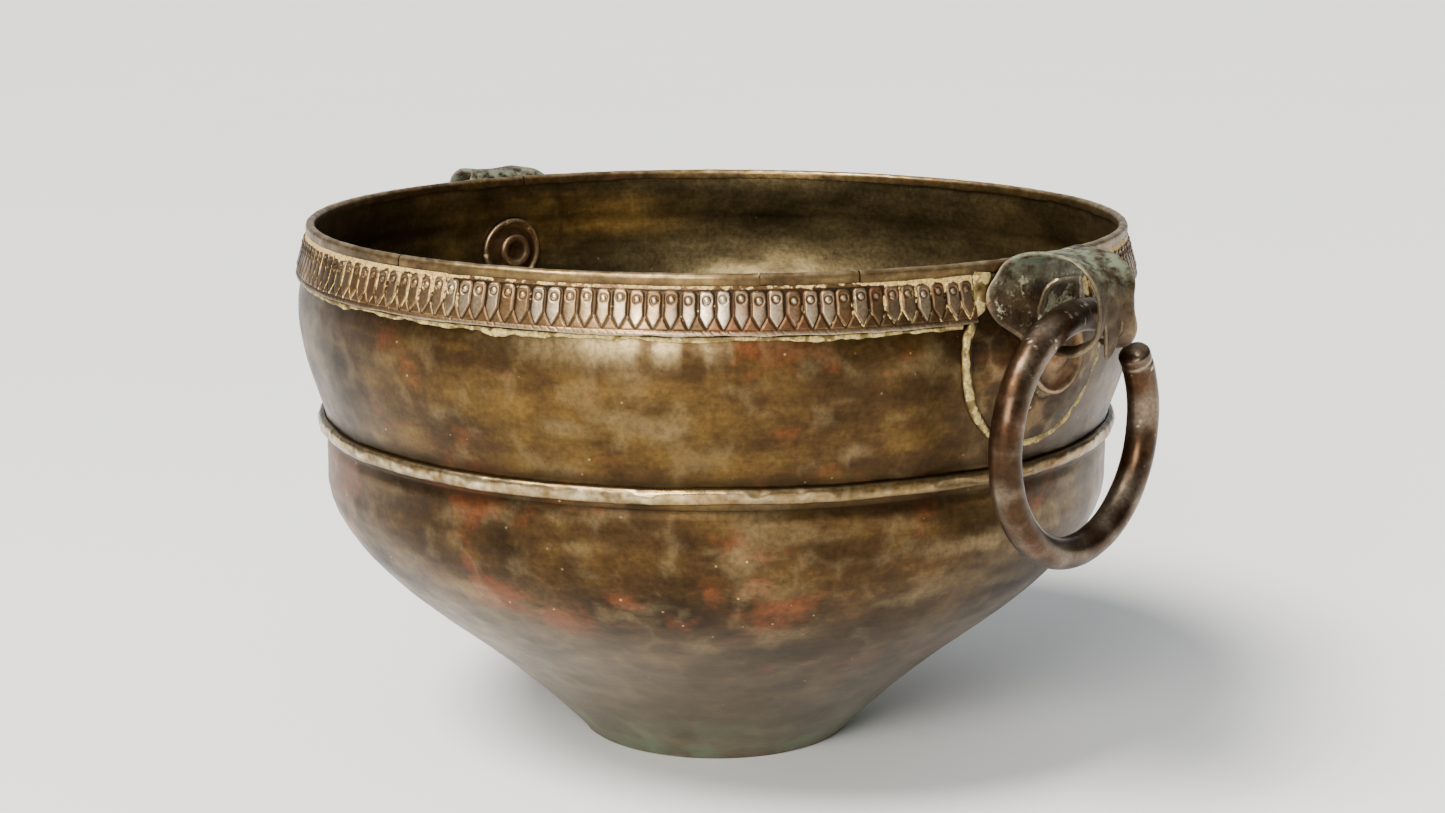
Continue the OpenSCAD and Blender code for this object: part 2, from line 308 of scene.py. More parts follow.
def sheet_solid(mid: np.ndarray, thick: np.ndarray | float, values: dict | None = None) -> Solid:
    """Solid sheet about a middle surface, with rounded edges.

    Args:
        mid: Grid of points on the middle surface.
        thick: Thickness in millimetres, one value or one to a point.
        values: What the finish needs to know, in the grid's shape.

    Returns:
        The solid.
    """
    n, m = mid.shape[:2]
    along = np.gradient(mid, axis=0)
    across = np.gradient(mid, axis=1)
    normal = unit(np.cross(along, across))
    half = (np.broadcast_to(thick, (n, m)) / 2)[..., None]
    front, back = mid + normal * half, mid - normal * half
    grid = np.arange(n * m).reshape(n, m)
    rim = np.concatenate([grid[0], grid[1:, -1], grid[-1, -2::-1], grid[-2:0:-1, 0]])
    inner_n = np.clip(np.arange(n), 1, n - 2)
    inner_m = np.clip(np.arange(m), 1, m - 2)
    inward = mid[np.ix_(inner_n, inner_m)]
    out = unit((mid - inward).reshape(-1, 3)[rim])
    edge = mid.reshape(-1, 3)[rim] + out * half.reshape(-1, 1)[rim] * 0.9
    count = n * m
    faces = strips(n, m, False, False).tolist()
    faces += [[i + count for i in reversed(f)] for f in strips(n, m, False, False).tolist()]
    for k in range(len(rim)):
        j = (k + 1) % len(rim)
        a, b = int(rim[k]), int(rim[j])
        faces.append([b, a, 2 * count + k, 2 * count + j])
        faces.append([2 * count + j, 2 * count + k, count + a, count + b])
    kept = {}
    for key, v in (values or {}).items():
        flat = v.reshape(-1)
        kept[key] = np.concatenate([flat, flat, flat[rim]])
    return Solid(np.vstack([front.reshape(-1, 3), back.reshape(-1, 3), edge]), faces, kept)


def ring_of(radius_z: np.ndarray, angles: np.ndarray) -> np.ndarray:
    """Turn outlines of radius and height about the bowl's axis.

    Args:
        radius_z: Outline points, or one outline to an angle.
        angles: Radians round the bowl.

    Returns:
        Points by angle and then along the outline.
    """
    rz = np.broadcast_to(radius_z, (len(angles),) + radius_z.shape[-2:])
    a = angles[:, None]
    return np.stack([rz[..., 0] * np.cos(a), rz[..., 0] * np.sin(a), rz[..., 1]], -1)


# ---- finishes -----------------------------------------------------------------------


def linear(hex_colour: str) -> tuple:
    """Turn an sRGB hex colour to linear.

    Args:
        hex_colour: Six digits after a hash.

    Returns:
        Red, green, blue and an alpha of 1.
    """
    parts = [int(hex_colour[i:i + 2], 16) / 255 for i in (1, 3, 5)]
    return tuple(c / 12.92 if c <= 0.04045 else ((c + 0.055) / 1.055) ** 2.4 for c in parts) + (1.0,)


def add_node(tree: bpy.types.NodeTree, kind: str, settings: dict,
             links: dict | None = None) -> bpy.types.Node:
    """Add a node with its settings and links.

    Args:
        tree: The material's or world's node tree.
        kind: The node's type, without the ShaderNode that all of them start with.
        settings: Node attributes by name, and socket values by number or socket name.
        links: The node or output that feeds each socket.

    Returns:
        The node.
    """
    node = tree.nodes.new("ShaderNode" + kind)
    for key, value in settings.items():
        if isinstance(key, str) and key not in node.inputs and hasattr(node, key):
            setattr(node, key, value)
        else:
            node.inputs[key].default_value = value
    for key, source in (links or {}).items():
        output = source.outputs[0] if isinstance(source, bpy.types.Node) else source
        tree.links.new(output, node.inputs[key])
    return node


@dataclass(frozen=True)
class AgedBrass:
    """Hammered brass that has gone brown with handling, with rubbed places and dirt in the hollows, and with
    painted highlights, painted shade and a painted floor reflection laid in with them.

    Brass sheet raised by hammer and never polished since. To the eye it is a dull metal with
    cloudy brown tarnish, fine wiping marks that run round the bowl, coppery islands where zinc
    has leached out, and specks of bare metal.
    """

    name: str
    dark: str
    body: str
    gold: str
    copper: str
    bright: str
    # Dark tone for dirt in the hollows, also used for painted shade
    dirt_and_shade_tone: str = "#241c10"
    crust: str = "#c9b88e"
    crust_dark: str = "#8f7a4c"
    green: str = "#6f7d62"
    # Grey laid towards the foot: a painted reflection of the pale floor
    foot: str = "#77705f"
    floor_reflection_share: float = 0.0
    # Millimetres across a cloud of tarnish, and across a coppery island
    cloud_mm: float = 62.0
    island_mm: float = 40.0
    # Wiping marks: millimetres long, and how many times longer than they are tall
    wipe_mm: float = 48.0
    wipe_stretch: float = 11.0
    # Grain of the tarnish. The real grain is finer than shows, so it is drawn at this size
    grain_mm: float = 2.6
    copper_share: float = 0.55
    green_low: float = 0.0
    green_top: float = 0.0
    metallic: float = 0.92
    rough_low: float = 0.3
    rough_high: float = 0.52
    grain_depth: float = 0.35

    def material(self) -> bpy.types.Material:
        """Build the node material.

        Returns:
            The material.
        """
        made = bpy.data.materials.new(self.name)
        made.use_nodes = True
        tree = made.node_tree
        shader = tree.nodes["Principled BSDF"]
        place = add_node(tree, "TexCoord", {}).outputs["Object"]
        clouds = []
        # Millimetres across, finer layers, a shift of its own, and how much it is flattened
        for size, detail, shift, tall in ((self.cloud_mm, 5.0, 3.1, 1.0),
                                          (self.cloud_mm * 0.3, 5.0, 1.9, 1.5),
                                          (self.wipe_mm, 6.0, 7.7, self.wipe_stretch),
                                          (self.grain_mm, 3.0, 5.3, 1.0),
                                          (self.island_mm, 4.0, 11.9, 1.5)):
            moved = add_node(tree, "Mapping",
                             {"Location": (shift, shift * 0.7, -shift), "Scale": (1, 1, tall)},
                             {"Vector": place})
            clouds.append(add_node(tree, "TexNoise",
                                   {"Scale": 1000 / size, "Detail": detail, "Roughness": 0.64},
                                   {"Vector": moved}))
        tarnish, patches, wiping, grain, islands = clouds
        wear_and_highlight, dirt_and_shade, deposit = (add_node(tree, "Attribute", {"attribute_name": k}).outputs["Fac"]
                                  for k in (WEAR_AND_HIGHLIGHT, DIRT_AND_SHADE, DEPOSIT))

        # Tarnish: dark and golden clouds, then coppery islands
        three = add_node(tree, "CombineXYZ", {}, {0: tarnish, 1: patches, 2: wiping})
        mixed = add_node(tree, "VectorMath", {"operation": "DOT_PRODUCT", 1: (0.5, 0.34, 0.16)}, {0: three})
        ramp = add_node(tree, "ValToRGB", {}, {0: mixed.outputs["Value"]})
        stops = ramp.color_ramp.elements
        stops[0].position, stops[0].color = 0.38, linear(self.dark)
        stops[1].position, stops[1].color = 0.62, linear(self.gold)
        stops.new(0.49).color = linear(self.body)
        spread = add_node(tree, "MapRange", {1: 0.55, 2: 0.63, 3: 0.0, 4: self.copper_share}, {0: islands})
        broken = add_node(tree, "MapRange", {1: 0.3, 2: 0.55, 3: 0.5, 4: 1.0}, {0: patches})
        island = add_node(tree, "Math", {"operation": "MULTIPLY"}, {0: spread, 1: broken})
        colour = add_node(tree, "Mix", {"data_type": "RGBA", 7: linear(self.copper)},
                          {0: island, 6: ramp}).outputs[2]

        # Wiping marks and grain shade it
        streak = add_node(tree, "MapRange", {1: 0.3, 2: 0.7, 3: 0.84, 4: 1.14}, {0: wiping})
        mottle = add_node(tree, "MapRange", {1: 0.3, 2: 0.7, 3: 0.76, 4: 1.24}, {0: grain})
        tone = add_node(tree, "Math", {"operation": "MULTIPLY"}, {0: streak, 1: mottle})
        grey = add_node(tree, "CombineColor", {}, {0: tone, 1: tone, 2: tone})
        colour = add_node(tree, "Mix", {"data_type": "RGBA", "blend_type": "MULTIPLY", 0: 1.0},
                          {6: colour, 7: grey}).outputs[2]

        # Duller and greyer towards the foot: a painted reflection of the pale floor
        height = add_node(tree, "SeparateXYZ", {}, {0: place}).outputs[2]
        floor_reflection = add_node(tree, "MapRange", {1: 0.015, 2: 0.1, 3: self.floor_reflection_share, 4: 0.0}, {0: height})

        # Bare metal: rubbed ridges, painted highlights and small nicks
        patchy = add_node(tree, "MapRange", {1: 0.3, 2: 0.62, 3: 0.55, 4: 1.1}, {0: grain})
        lit_and_worn = add_node(tree, "Math", {"operation": "MULTIPLY"}, {0: wear_and_highlight, 1: patchy})
        spots = add_node(tree, "TexVoronoi", {"Scale": 1000 / 9.0}, {"Vector": place})
        speck = add_node(tree, "MapRange", {1: 0.045, 2: 0.085, 3: 1.0, 4: 0.0}, {0: spots})
        where = add_node(tree, "MapRange", {1: 0.48, 2: 0.58, 3: 0.0, 4: 0.8}, {0: islands})
        nick = add_node(tree, "Math", {"operation": "MULTIPLY"}, {0: speck, 1: where})

        # Dirt in the hollows with painted shade in the same attribute, verdigris, then pale matter caked over
        # everything
        uneven = add_node(tree, "MapRange", {1: 0.3, 2: 0.6, 3: 0.7, 4: 1.0}, {0: patches})
        dirt_and_shade_share = add_node(tree, "Math", {"operation": "MULTIPLY"}, {0: dirt_and_shade, 1: uneven})
        low = add_node(tree, "MapRange", {1: 0.004, 2: 0.03, 3: self.green_low, 4: 0.0}, {0: height})
        high = add_node(tree, "MapRange", {1: 0.243, 2: 0.2575, 3: 0.0, 4: self.green_top}, {0: height})
        reach = add_node(tree, "Math", {"operation": "ADD"}, {0: low, 1: high})
        bloom = add_node(tree, "MapRange", {1: 0.42, 2: 0.58}, {0: patches})
        green = add_node(tree, "Math", {"operation": "MULTIPLY"}, {0: reach, 1: bloom})
        for share, coat in ((floor_reflection, self.foot), (lit_and_worn, self.bright), (nick, self.bright),
                            (dirt_and_shade_share, self.dirt_and_shade_tone), (green, self.green)):
            colour = add_node(tree, "Mix", {"data_type": "RGBA", 7: linear(coat)},
                              {0: share, 6: colour}).outputs[2]
        rough_edge = add_node(tree, "Math", {"operation": "MULTIPLY_ADD", 1: 0.9}, {0: grain, 2: deposit})
        caked = add_node(tree, "MapRange", {1: 0.87, 2: 1.05}, {0: rough_edge})
        flaked = add_node(tree, "MapRange", {1: 0.36, 2: 0.62}, {0: grain})
        crust = add_node(tree, "Mix", {"data_type": "RGBA", 6: linear(self.crust_dark),
                                                 7: linear(self.crust)}, {0: flaked}).outputs[2]
        surface = {"Base Color": add_node(tree, "Mix", {"data_type": "RGBA"},
                                         {0: caked, 6: colour, 7: crust}).outputs[2]}

        # Dull where crusted or green, glossier where rubbed and where highlights are painted
        covered = add_node(tree, "Math", {"operation": "MAXIMUM"}, {0: caked, 1: green})
        surface["Metallic"] = add_node(tree, "MapRange", {3: self.metallic, 4: self.metallic * 0.3},
                                      {0: covered}).outputs[0]
        sheen = add_node(tree, "MapRange", {1: 0.36, 2: 0.62, 3: self.rough_high, 4: self.rough_low},
                         {0: mixed.outputs["Value"]})
        matt = add_node(tree, "Math", {"operation": "MULTIPLY_ADD", 1: 0.25}, {0: covered, 2: sheen})
        gloss = add_node(tree, "Math", {"operation": "MULTIPLY_ADD", 1: -0.1}, {0: lit_and_worn, 2: matt})
        surface["Roughness"] = add_node(tree, "Math", {"operation": "MULTIPLY_ADD", 1: 0.12},
                                       {0: grain, 2: gloss}).outputs[0]
        lumps = add_node(tree, "CombineXYZ", {}, {0: grain, 1: wiping, 2: caked})
        relief = add_node(tree, "VectorMath", {"operation": "DOT_PRODUCT", 1: (0.5, 0.35, 0.35)}, {0: lumps})
        surface["Normal"] = add_node(tree, "Bump", {"Strength": self.grain_depth, "Distance": 0.0004},
                                    {"Height": relief.outputs["Value"]}).outputs[0]
        for socket, output in surface.items():
            tree.links.new(output, shader.inputs[socket])
        return made


@dataclass(frozen=True)
class PaleFloor:
    """Matt painted studio floor. It gives the eye an even pale ground that takes a soft shadow."""

    paint: str = "#f4f6f7"
    rough: float = 0.75

    def material(self) -> bpy.types.Material:
        """Build the floor's paint.

        Returns:
            The material.
        """
        made = bpy.data.materials.new("matt_floor_paint")
        made.use_nodes = True
        tree = made.node_tree
        shader = tree.nodes["Principled BSDF"]
        place = add_node(tree, "TexCoord", {}).outputs["Object"]
        roller = add_node(tree, "TexNoise", {"Scale": 1.4, "Detail": 3.0}, {"Vector": place})
        mix = add_node(tree, "Mix", {"data_type": "RGBA", 6: linear(self.paint), 7: linear("#eef1f2")},
                       {0: roller.outputs["Fac"]})
        tree.links.new(mix.outputs[2], shader.inputs["Base Color"])
        shader.inputs["Roughness"].default_value = self.rough
        shader.inputs["Specular IOR Level"].default_value = 0.2
        return made


# ---- what the frame gives -----------------------------------------------------------


def face_tree(node: str) -> BVHTree:
    """A CAD node's faces, ready for rays."""
    mesh = frame["nodes"][node].data
    return BVHTree.FromPolygons([v.co for v in mesh.vertices], [tuple(p.vertices) for p in mesh.polygons])


@dataclass
class Reach:
    """How far a CAD node reaches, in millimetres and radians."""

    r_low: float
    r_high: float
    z_low: float
    z_high: float

    @staticmethod
    def of(node: str) -> "Reach":
        """Measure a node.

        Args:
            node: The CAD node's name.

        Returns:
            Its least and greatest radius and height.
        """
        co = Reach.points(node)
        r = np.hypot(co[:, 0], co[:, 1])
        return Reach(float(r.min()), float(r.max()), float(co[:, 2].min()), float(co[:, 2].max()))

    @staticmethod
    def points(node: str) -> np.ndarray:
        """A node's corners in millimetres."""
        mesh = frame["nodes"][node].data
        co = np.zeros(len(mesh.vertices) * 3)
        mesh.vertices.foreach_get("co", co)
        return co.reshape(-1, 3) / MM

    @staticmethod
    def arc(node: str) -> tuple:
        """Find where an open arc of the bowl starts and stops.

        Args:
            node: The CAD node's name.

        Returns:
            Start and stop in radians, counted the way the arc runs.
        """
        co = Reach.points(node)
        a = np.sort(np.unique(np.round(np.arctan2(co[:, 1], co[:, 0]), 5)))
        gaps = np.diff(np.append(a, a[0] + 2 * math.pi))
        widest = int(gaps.argmax())
        start = float(a[(widest + 1) % len(a)])
        return start, start + 2 * math.pi - float(gaps[widest])


class Wall:
    """The two shells' faces, read from the CAD, and the slow unevenness that all brazed pieces share."""

    def __init__(self) -> None:
        self.faces = {}
        for shell in ("lower_shell", "upper_shell"):
            tree = face_tree(shell)
            reach = Reach.of(shell)
            z = np.linspace(reach.z_low + 0.02, reach.z_high - 0.02, 420)
            outer = [self.first_hit(tree, 0.4, -1, h) for h in z]
            inner = [self.first_hit(tree, 0.0, 1, h) for h in z]
            self.faces[shell] = (z, np.array(outer), np.array(inner))

    @staticmethod
    def first_hit(tree: BVHTree, start: float, way: int, height: float) -> float:
        """Radius of the first face met on a level line, away from the lugs."""
        hit = tree.ray_cast(Vector((0.0, start, height * MM)), Vector((0, way, 0)))[0]
        return hit.y / MM if hit else 0.0

    def outer(self, z: np.ndarray) -> np.ndarray:
        """Outside radius of the upper shell at a height."""
        return np.interp(z, self.faces["upper_shell"][0], self.faces["upper_shell"][1])

    def inner(self, z: np.ndarray) -> np.ndarray:
        """Inside radius of the upper shell at a height."""
        return np.interp(z, self.faces["upper_shell"][0], self.faces["upper_shell"][2])

    @staticmethod
    def settle(points: np.ndarray) -> np.ndarray:
        """Move points in or out with the hand-raised wall.

        Args:
            points: Places in millimetres.

        Returns:
            The same places on the uneven wall.
        """
        a = np.arctan2(points[..., 1], points[..., 0])
        z = points[..., 2]
        even = np.stack([WALL_R * np.cos(a), WALL_R * np.sin(a), z], -1)
        push = 0.75 * cloud(even, 105.0, 5) + 0.3 * cloud(even, 44.0, 6)
        push = push * ease(z / 40.0)
        r = np.hypot(points[..., 0], points[..., 1])
        grow = (1 + push / np.maximum(r, 30.0))[..., None]
        return points * np.concatenate([grow, grow, np.ones_like(grow)], -1)


WALL = Wall()


# ---- the bowl's body ----------------------------------------------------------------


@dataclass
class Shells:
    """The two raised shells: outlines from the CAD, hammer marks and wiping of their own."""

    turns: int = 640
    step: float = 2.2
    blow_mm: float = 15.0
    blow_depth: float = 0.2
    inner_depth: float = 0.16
    foot_round: float = 1.6
    # Painted highlight on the wall below the band, standing for the window softbox's reflection: degrees
    # round the bowl, how far that reaches, and its height
    highlight_at: float = -54.0
    highlight_reach: float = 11.0
    highlight_z: float = 226.5
    # The upper shell's lap seam inside, in degrees round the bowl
    seam_at: float = 163.0
    # Heights where dirt gathers at the two edges of the lap, and where a painted shadow lies under the band
    lap_z: tuple = (168.0, 156.0)
    band_shadow_z: float = 233.0

    def outline(self, shell: str) -> tuple:
        """Half outline of a shell from the outside bottom, over the top and down the inside.

        Args:
            shell: The CAD node's name.

        Returns:
            Radius and height of each point, the outward direction there, and which points are inside.
        """
        z, outer, inner = WALL.faces[shell]
        low, high = z[0], z[-1]
        if shell == "lower_shell":
            floor = float(z[np.argmax(inner > 1.0)])
            rows = max(int((high - low) / self.step * 1.35), 10)
            out_z = np.linspace(low + self.foot_round, high, rows)
            in_z = np.linspace(high, floor + 1.0, rows)
            foot = float(np.interp(low + self.foot_round, z, outer))
            base_r = np.linspace(0, foot - self.foot_round, 30)
            under = np.stack([base_r, np.full_like(base_r, 0.02)], -1)
            side = np.stack([np.interp(out_z, z, outer), out_z], -1)
            back = np.stack([np.interp(in_z, z, inner), in_z], -1)
            well_r = np.linspace(back[-1, 0] - 1.5, 0, 30)
            well = np.stack([well_r, np.full_like(well_r, floor)], -1)
            lip = np.array([[(side[-1, 0] + back[0, 0]) / 2, high + 0.25]])
            corner = np.array([[foot - 0.45, 0.5]])
            line = np.vstack([under, corner, side, lip, back, well])
            inside = np.arange(len(line)) >= len(under) + 1 + len(side)
        else:
            rows = int((high - low) / self.step)
            out_z = np.linspace(low, high, rows)
            side = np.stack([np.interp(out_z, z, outer), out_z], -1)
            back = np.stack([np.interp(out_z[::-1], z, inner), out_z[::-1]], -1)
            line = np.vstack([side, back])
            inside = np.arange(len(line)) >= len(side)
        slope = np.gradient(line, axis=0)
        out = unit(np.stack([slope[:, 1], -slope[:, 0]], -1))
        return line, out, inside

    def build(self, shell: str, outside: bpy.types.Material, inner: bpy.types.Material) -> bpy.types.Object:
        """Build one shell.

        Args:
            shell: The CAD node's name.
            outside: Finish of the outer face.
            inner: Finish of the inner face.

        Returns:
            The piece.
        """
        line, out, inside = self.outline(shell)
        turn = np.linspace(0, 2 * math.pi, self.turns, endpoint=False)
        base = ring_of(line, turn)
        a = turn[:, None]
        way = ring_of(out, turn)
        marks = hammer_marks(base, self.blow_mm, 41)
        flat = hammer_marks(base * [1, 1, 2.2], self.blow_mm * 1.2, 77)
        z, r = base[..., 2], np.hypot(base[..., 0], base[..., 1])
        lift = np.where(inside, self.inner_depth * (flat - 0.5), self.blow_depth * (marks - 0.5))
        lift = np.where(z < 1.0, -0.25 * flat * ease(r / 30), lift)
        if shell == "lower_shell":
            lift *= np.where(inside & (z > 163), 0.3, 1.0)
        else:
            seam = np.abs((a - math.radians(self.seam_at)) * 190 + 2.0 * np.sin(z / 7.0))
            before = a < math.radians(self.seam_at + 0.5)
            lift = np.where(inside, lift + 0.5 * ease(1 - seam / 1.6) * before, lift)
        points = WALL.settle(base + way * lift[..., None])
        points[..., 2] = np.maximum(points[..., 2], 0.0)
        dirt_and_shade = np.where(inside, 0.15 + 0.35 * ease((cloud(base * [1, 1, 3], 60, 12, 3) + 0.1) / 0.7), 0.0)
        upper, lower = self.lap_z
        near_waist = np.exp(-(((z - upper) / 2.6) ** 2)) + np.exp(-(((z - lower) / 2.2) ** 2))
        # Dirt at the lap's edges, and a painted shadow line under the band's lower edge
        dirt_and_shade = dirt_and_shade + 0.75 * near_waist + 0.4 * np.exp(-((z - self.band_shadow_z) / 2.5) ** 2)
        handled = ease((cloud(base * [1, 1, 2.5], 30, 15, 4) - 0.2) / 0.9)
        wear_and_highlight = np.where(inside, 0.0, 0.1 * ease((marks - 0.6) / 0.4) + 0.16 * handled)
        # Painted highlight: a bright patch below the band where the window softbox would reflect
        turned = turned_from(a, self.highlight_at) / math.radians(self.highlight_reach)
        place = np.exp(-(turned**2) - ((z - self.highlight_z) / 5.5) ** 2) * ~inside
        wear_and_highlight = wear_and_highlight + 0.85 * place * ease(0.75 + cloud(base * [1, 1, 0.25], 7, 16, 3))
        values = {DIRT_AND_SHADE: dirt_and_shade, WEAR_AND_HIGHLIGHT: wear_and_highlight}
        if shell == "lower_shell":
            solid = spun(points, values)
            mid = (np.arange(len(line) - 3) >= np.argmax(inside) - 1).astype(int)
            caps = [Face.OUTSIDE.value, Face.INSIDE.value] * self.turns
            solid.slots = np.tile(mid, self.turns).tolist() + caps
        else:
            solid = swept(points, True, values)
            mid = inside.astype(int)
            solid.slots = np.tile(mid, self.turns).tolist()
        return solid.piece(shell, "shell_brass", [outside, inner], 60.0)


@dataclass
class WaistBead:
    """Half-round hoop over the lapped seam, hammered down in short flats and worn bright on top."""

    turns: int = 1150
    flat_mm: float = 10.5
    dent: float = 0.85
    wander: float = 0.6
    # Degrees round the bowl, on the side facing the key light, where it is painted brightest, and how far
    # that reaches
    highlight_at: float = -92.0
    highlight_reach: float = 62.0

    def build(self, finish: bpy.types.Material) -> bpy.types.Object:
        """Build the hoop.

        Args:
            finish: Its material.

        Returns:
            The piece.
        """
        reach = Reach.of("waist_bead")
        half = (reach.z_high - reach.z_low) / 2
        mid_z = (reach.z_high + reach.z_low) / 2
        turn = np.linspace(0, 2 * math.pi, self.turns, endpoint=False)
        arc = np.radians(np.linspace(-88, 88, 15))
        out = np.stack([np.cos(arc) ** 0.6, np.sin(arc)], -1)
        line = np.vstack([out * half + [reach.r_low, mid_z], [[reach.r_low - 0.4, mid_z + half * 0.6],
                                                            [reach.r_low - 0.4, mid_z - half * 0.6]]])
        base = ring_of(line, turn)
        front = np.concatenate([np.cos(arc), [0, 0]])
        marks = hammer_marks(base, self.flat_mm, 90)
        fine = cloud(base, 3.4, 91, 2)
        lift = -self.dent * (1 - marks) * front - 0.16 * np.abs(fine) * front
        up = np.concatenate([np.sin(arc), [0, 0]])
        points = base + ring_of(np.stack([front, up], -1), turn) * lift[..., None]
        points[..., 2] += self.wander * cloud(ring_of(line[:1], turn), 38, 92, 2)
        points = WALL.settle(points)
        # Painted light: the wear is drawn brighter on the side that faces the key light
        off = turned_from(turn, self.highlight_at)
        lit_and_worn = ease(1.25 - np.abs(off)[:, None] / math.radians(self.highlight_reach))
        wear_and_highlight = 0.1 + 0.5 * (marks - 0.2) * ease(1.15 - np.abs(up - 0.1)) + 0.3 * fine
        wear_and_highlight = np.clip(wear_and_highlight * (0.25 + 0.9 * lit_and_worn) + 0.12 * lit_and_worn, 0, 1) * front
        dirt_and_shade = np.broadcast_to(np.abs(up) ** 5 * 0.9, wear_and_highlight.shape)
        solid = swept(points, True, {WEAR_AND_HIGHLIGHT: wear_and_highlight, DIRT_AND_SHADE: dirt_and_shade})
        return solid.piece("waist_bead", "bead_brass", [finish], 60.0)


@dataclass
class RimStrip:
    """One length of the sheet folded over the lip."""

    number: int
    step_mm: float = 1.4
    wavy: float = 0.5
    dent: float = 0.2
    sheet: float = 1.15

    def build(self, finish: bpy.types.Material) -> bpy.types.Object:
        """Build the strip as a folded gutter with a wavy hammered edge.

        Args:
            finish: Its material.

        Returns:
            The piece.
        """
        name = f"rim_strip_{self.number}"
        reach = Reach.of(name)
        start, stop = Reach.arc(name)
        half = (reach.r_high - reach.r_low) / 2
        mid = (reach.r_high + reach.r_low) / 2
        count = int((stop - start) * reach.r_high / self.step_mm)
        turn = np.linspace(start, stop, count)
        over = np.radians(np.linspace(0, 180, 13))
        top = np.stack([mid + half * np.cos(over), reach.z_high - half + half * np.sin(over)], -1)
        gutter = half - self.sheet
        leg = np.linspace(reach.z_high - half, reach.z_low, 4)[1:]
        inner_leg = np.stack([np.full(3, mid - half), leg], -1)
        outer_leg = np.stack([np.full(3, mid + half), leg[::-1]], -1)
        under = np.array([[mid - gutter, reach.z_low], [mid - gutter, reach.z_high - self.sheet],
                          [mid + gutter, reach.z_high - self.sheet], [mid + gutter, reach.z_low]])
        line = np.vstack([top, inner_leg, under, outer_leg])
        out = np.vstack([np.stack([np.cos(over), np.sin(over)], -1), np.tile([-1.0, 0.0], (3, 1)),
                         np.zeros((4, 2)), np.tile([1.0, 0.0], (3, 1))])
        base = ring_of(line, turn)
        way = ring_of(out, turn)
        marks = hammer_marks(base * [1, 1, 1.6], 8.0, 120 + self.number)
        fine = cloud(base, 4.0, 130, 2)
        points = base + way * (-self.dent * (1 - marks) - 0.06 * np.abs(fine))[..., None]
        low = ease(1 - (base[..., 2] - reach.z_low) / 1.5)
        edge = ring_of(np.array([[reach.r_high, reach.z_low]]), turn)
        points[..., 2] += low * (self.wavy * cloud(edge, 21, 140 + self.number, 3) + 0.1)
        points = WALL.settle(points)
        up = np.concatenate([np.sin(over), np.zeros(10)])
        wear_and_highlight = up * (0.05 + 0.4 * marks + 0.4 * fine)
        dirt_and_shade = 0.55 * low + 0.3 * (1 - marks) * (1 - up)
        solid = swept(points, False, {WEAR_AND_HIGHLIGHT: wear_and_highlight, DIRT_AND_SHADE: dirt_and_shade})
        return solid.piece(name, "rim_brass", [finish], 50.0)


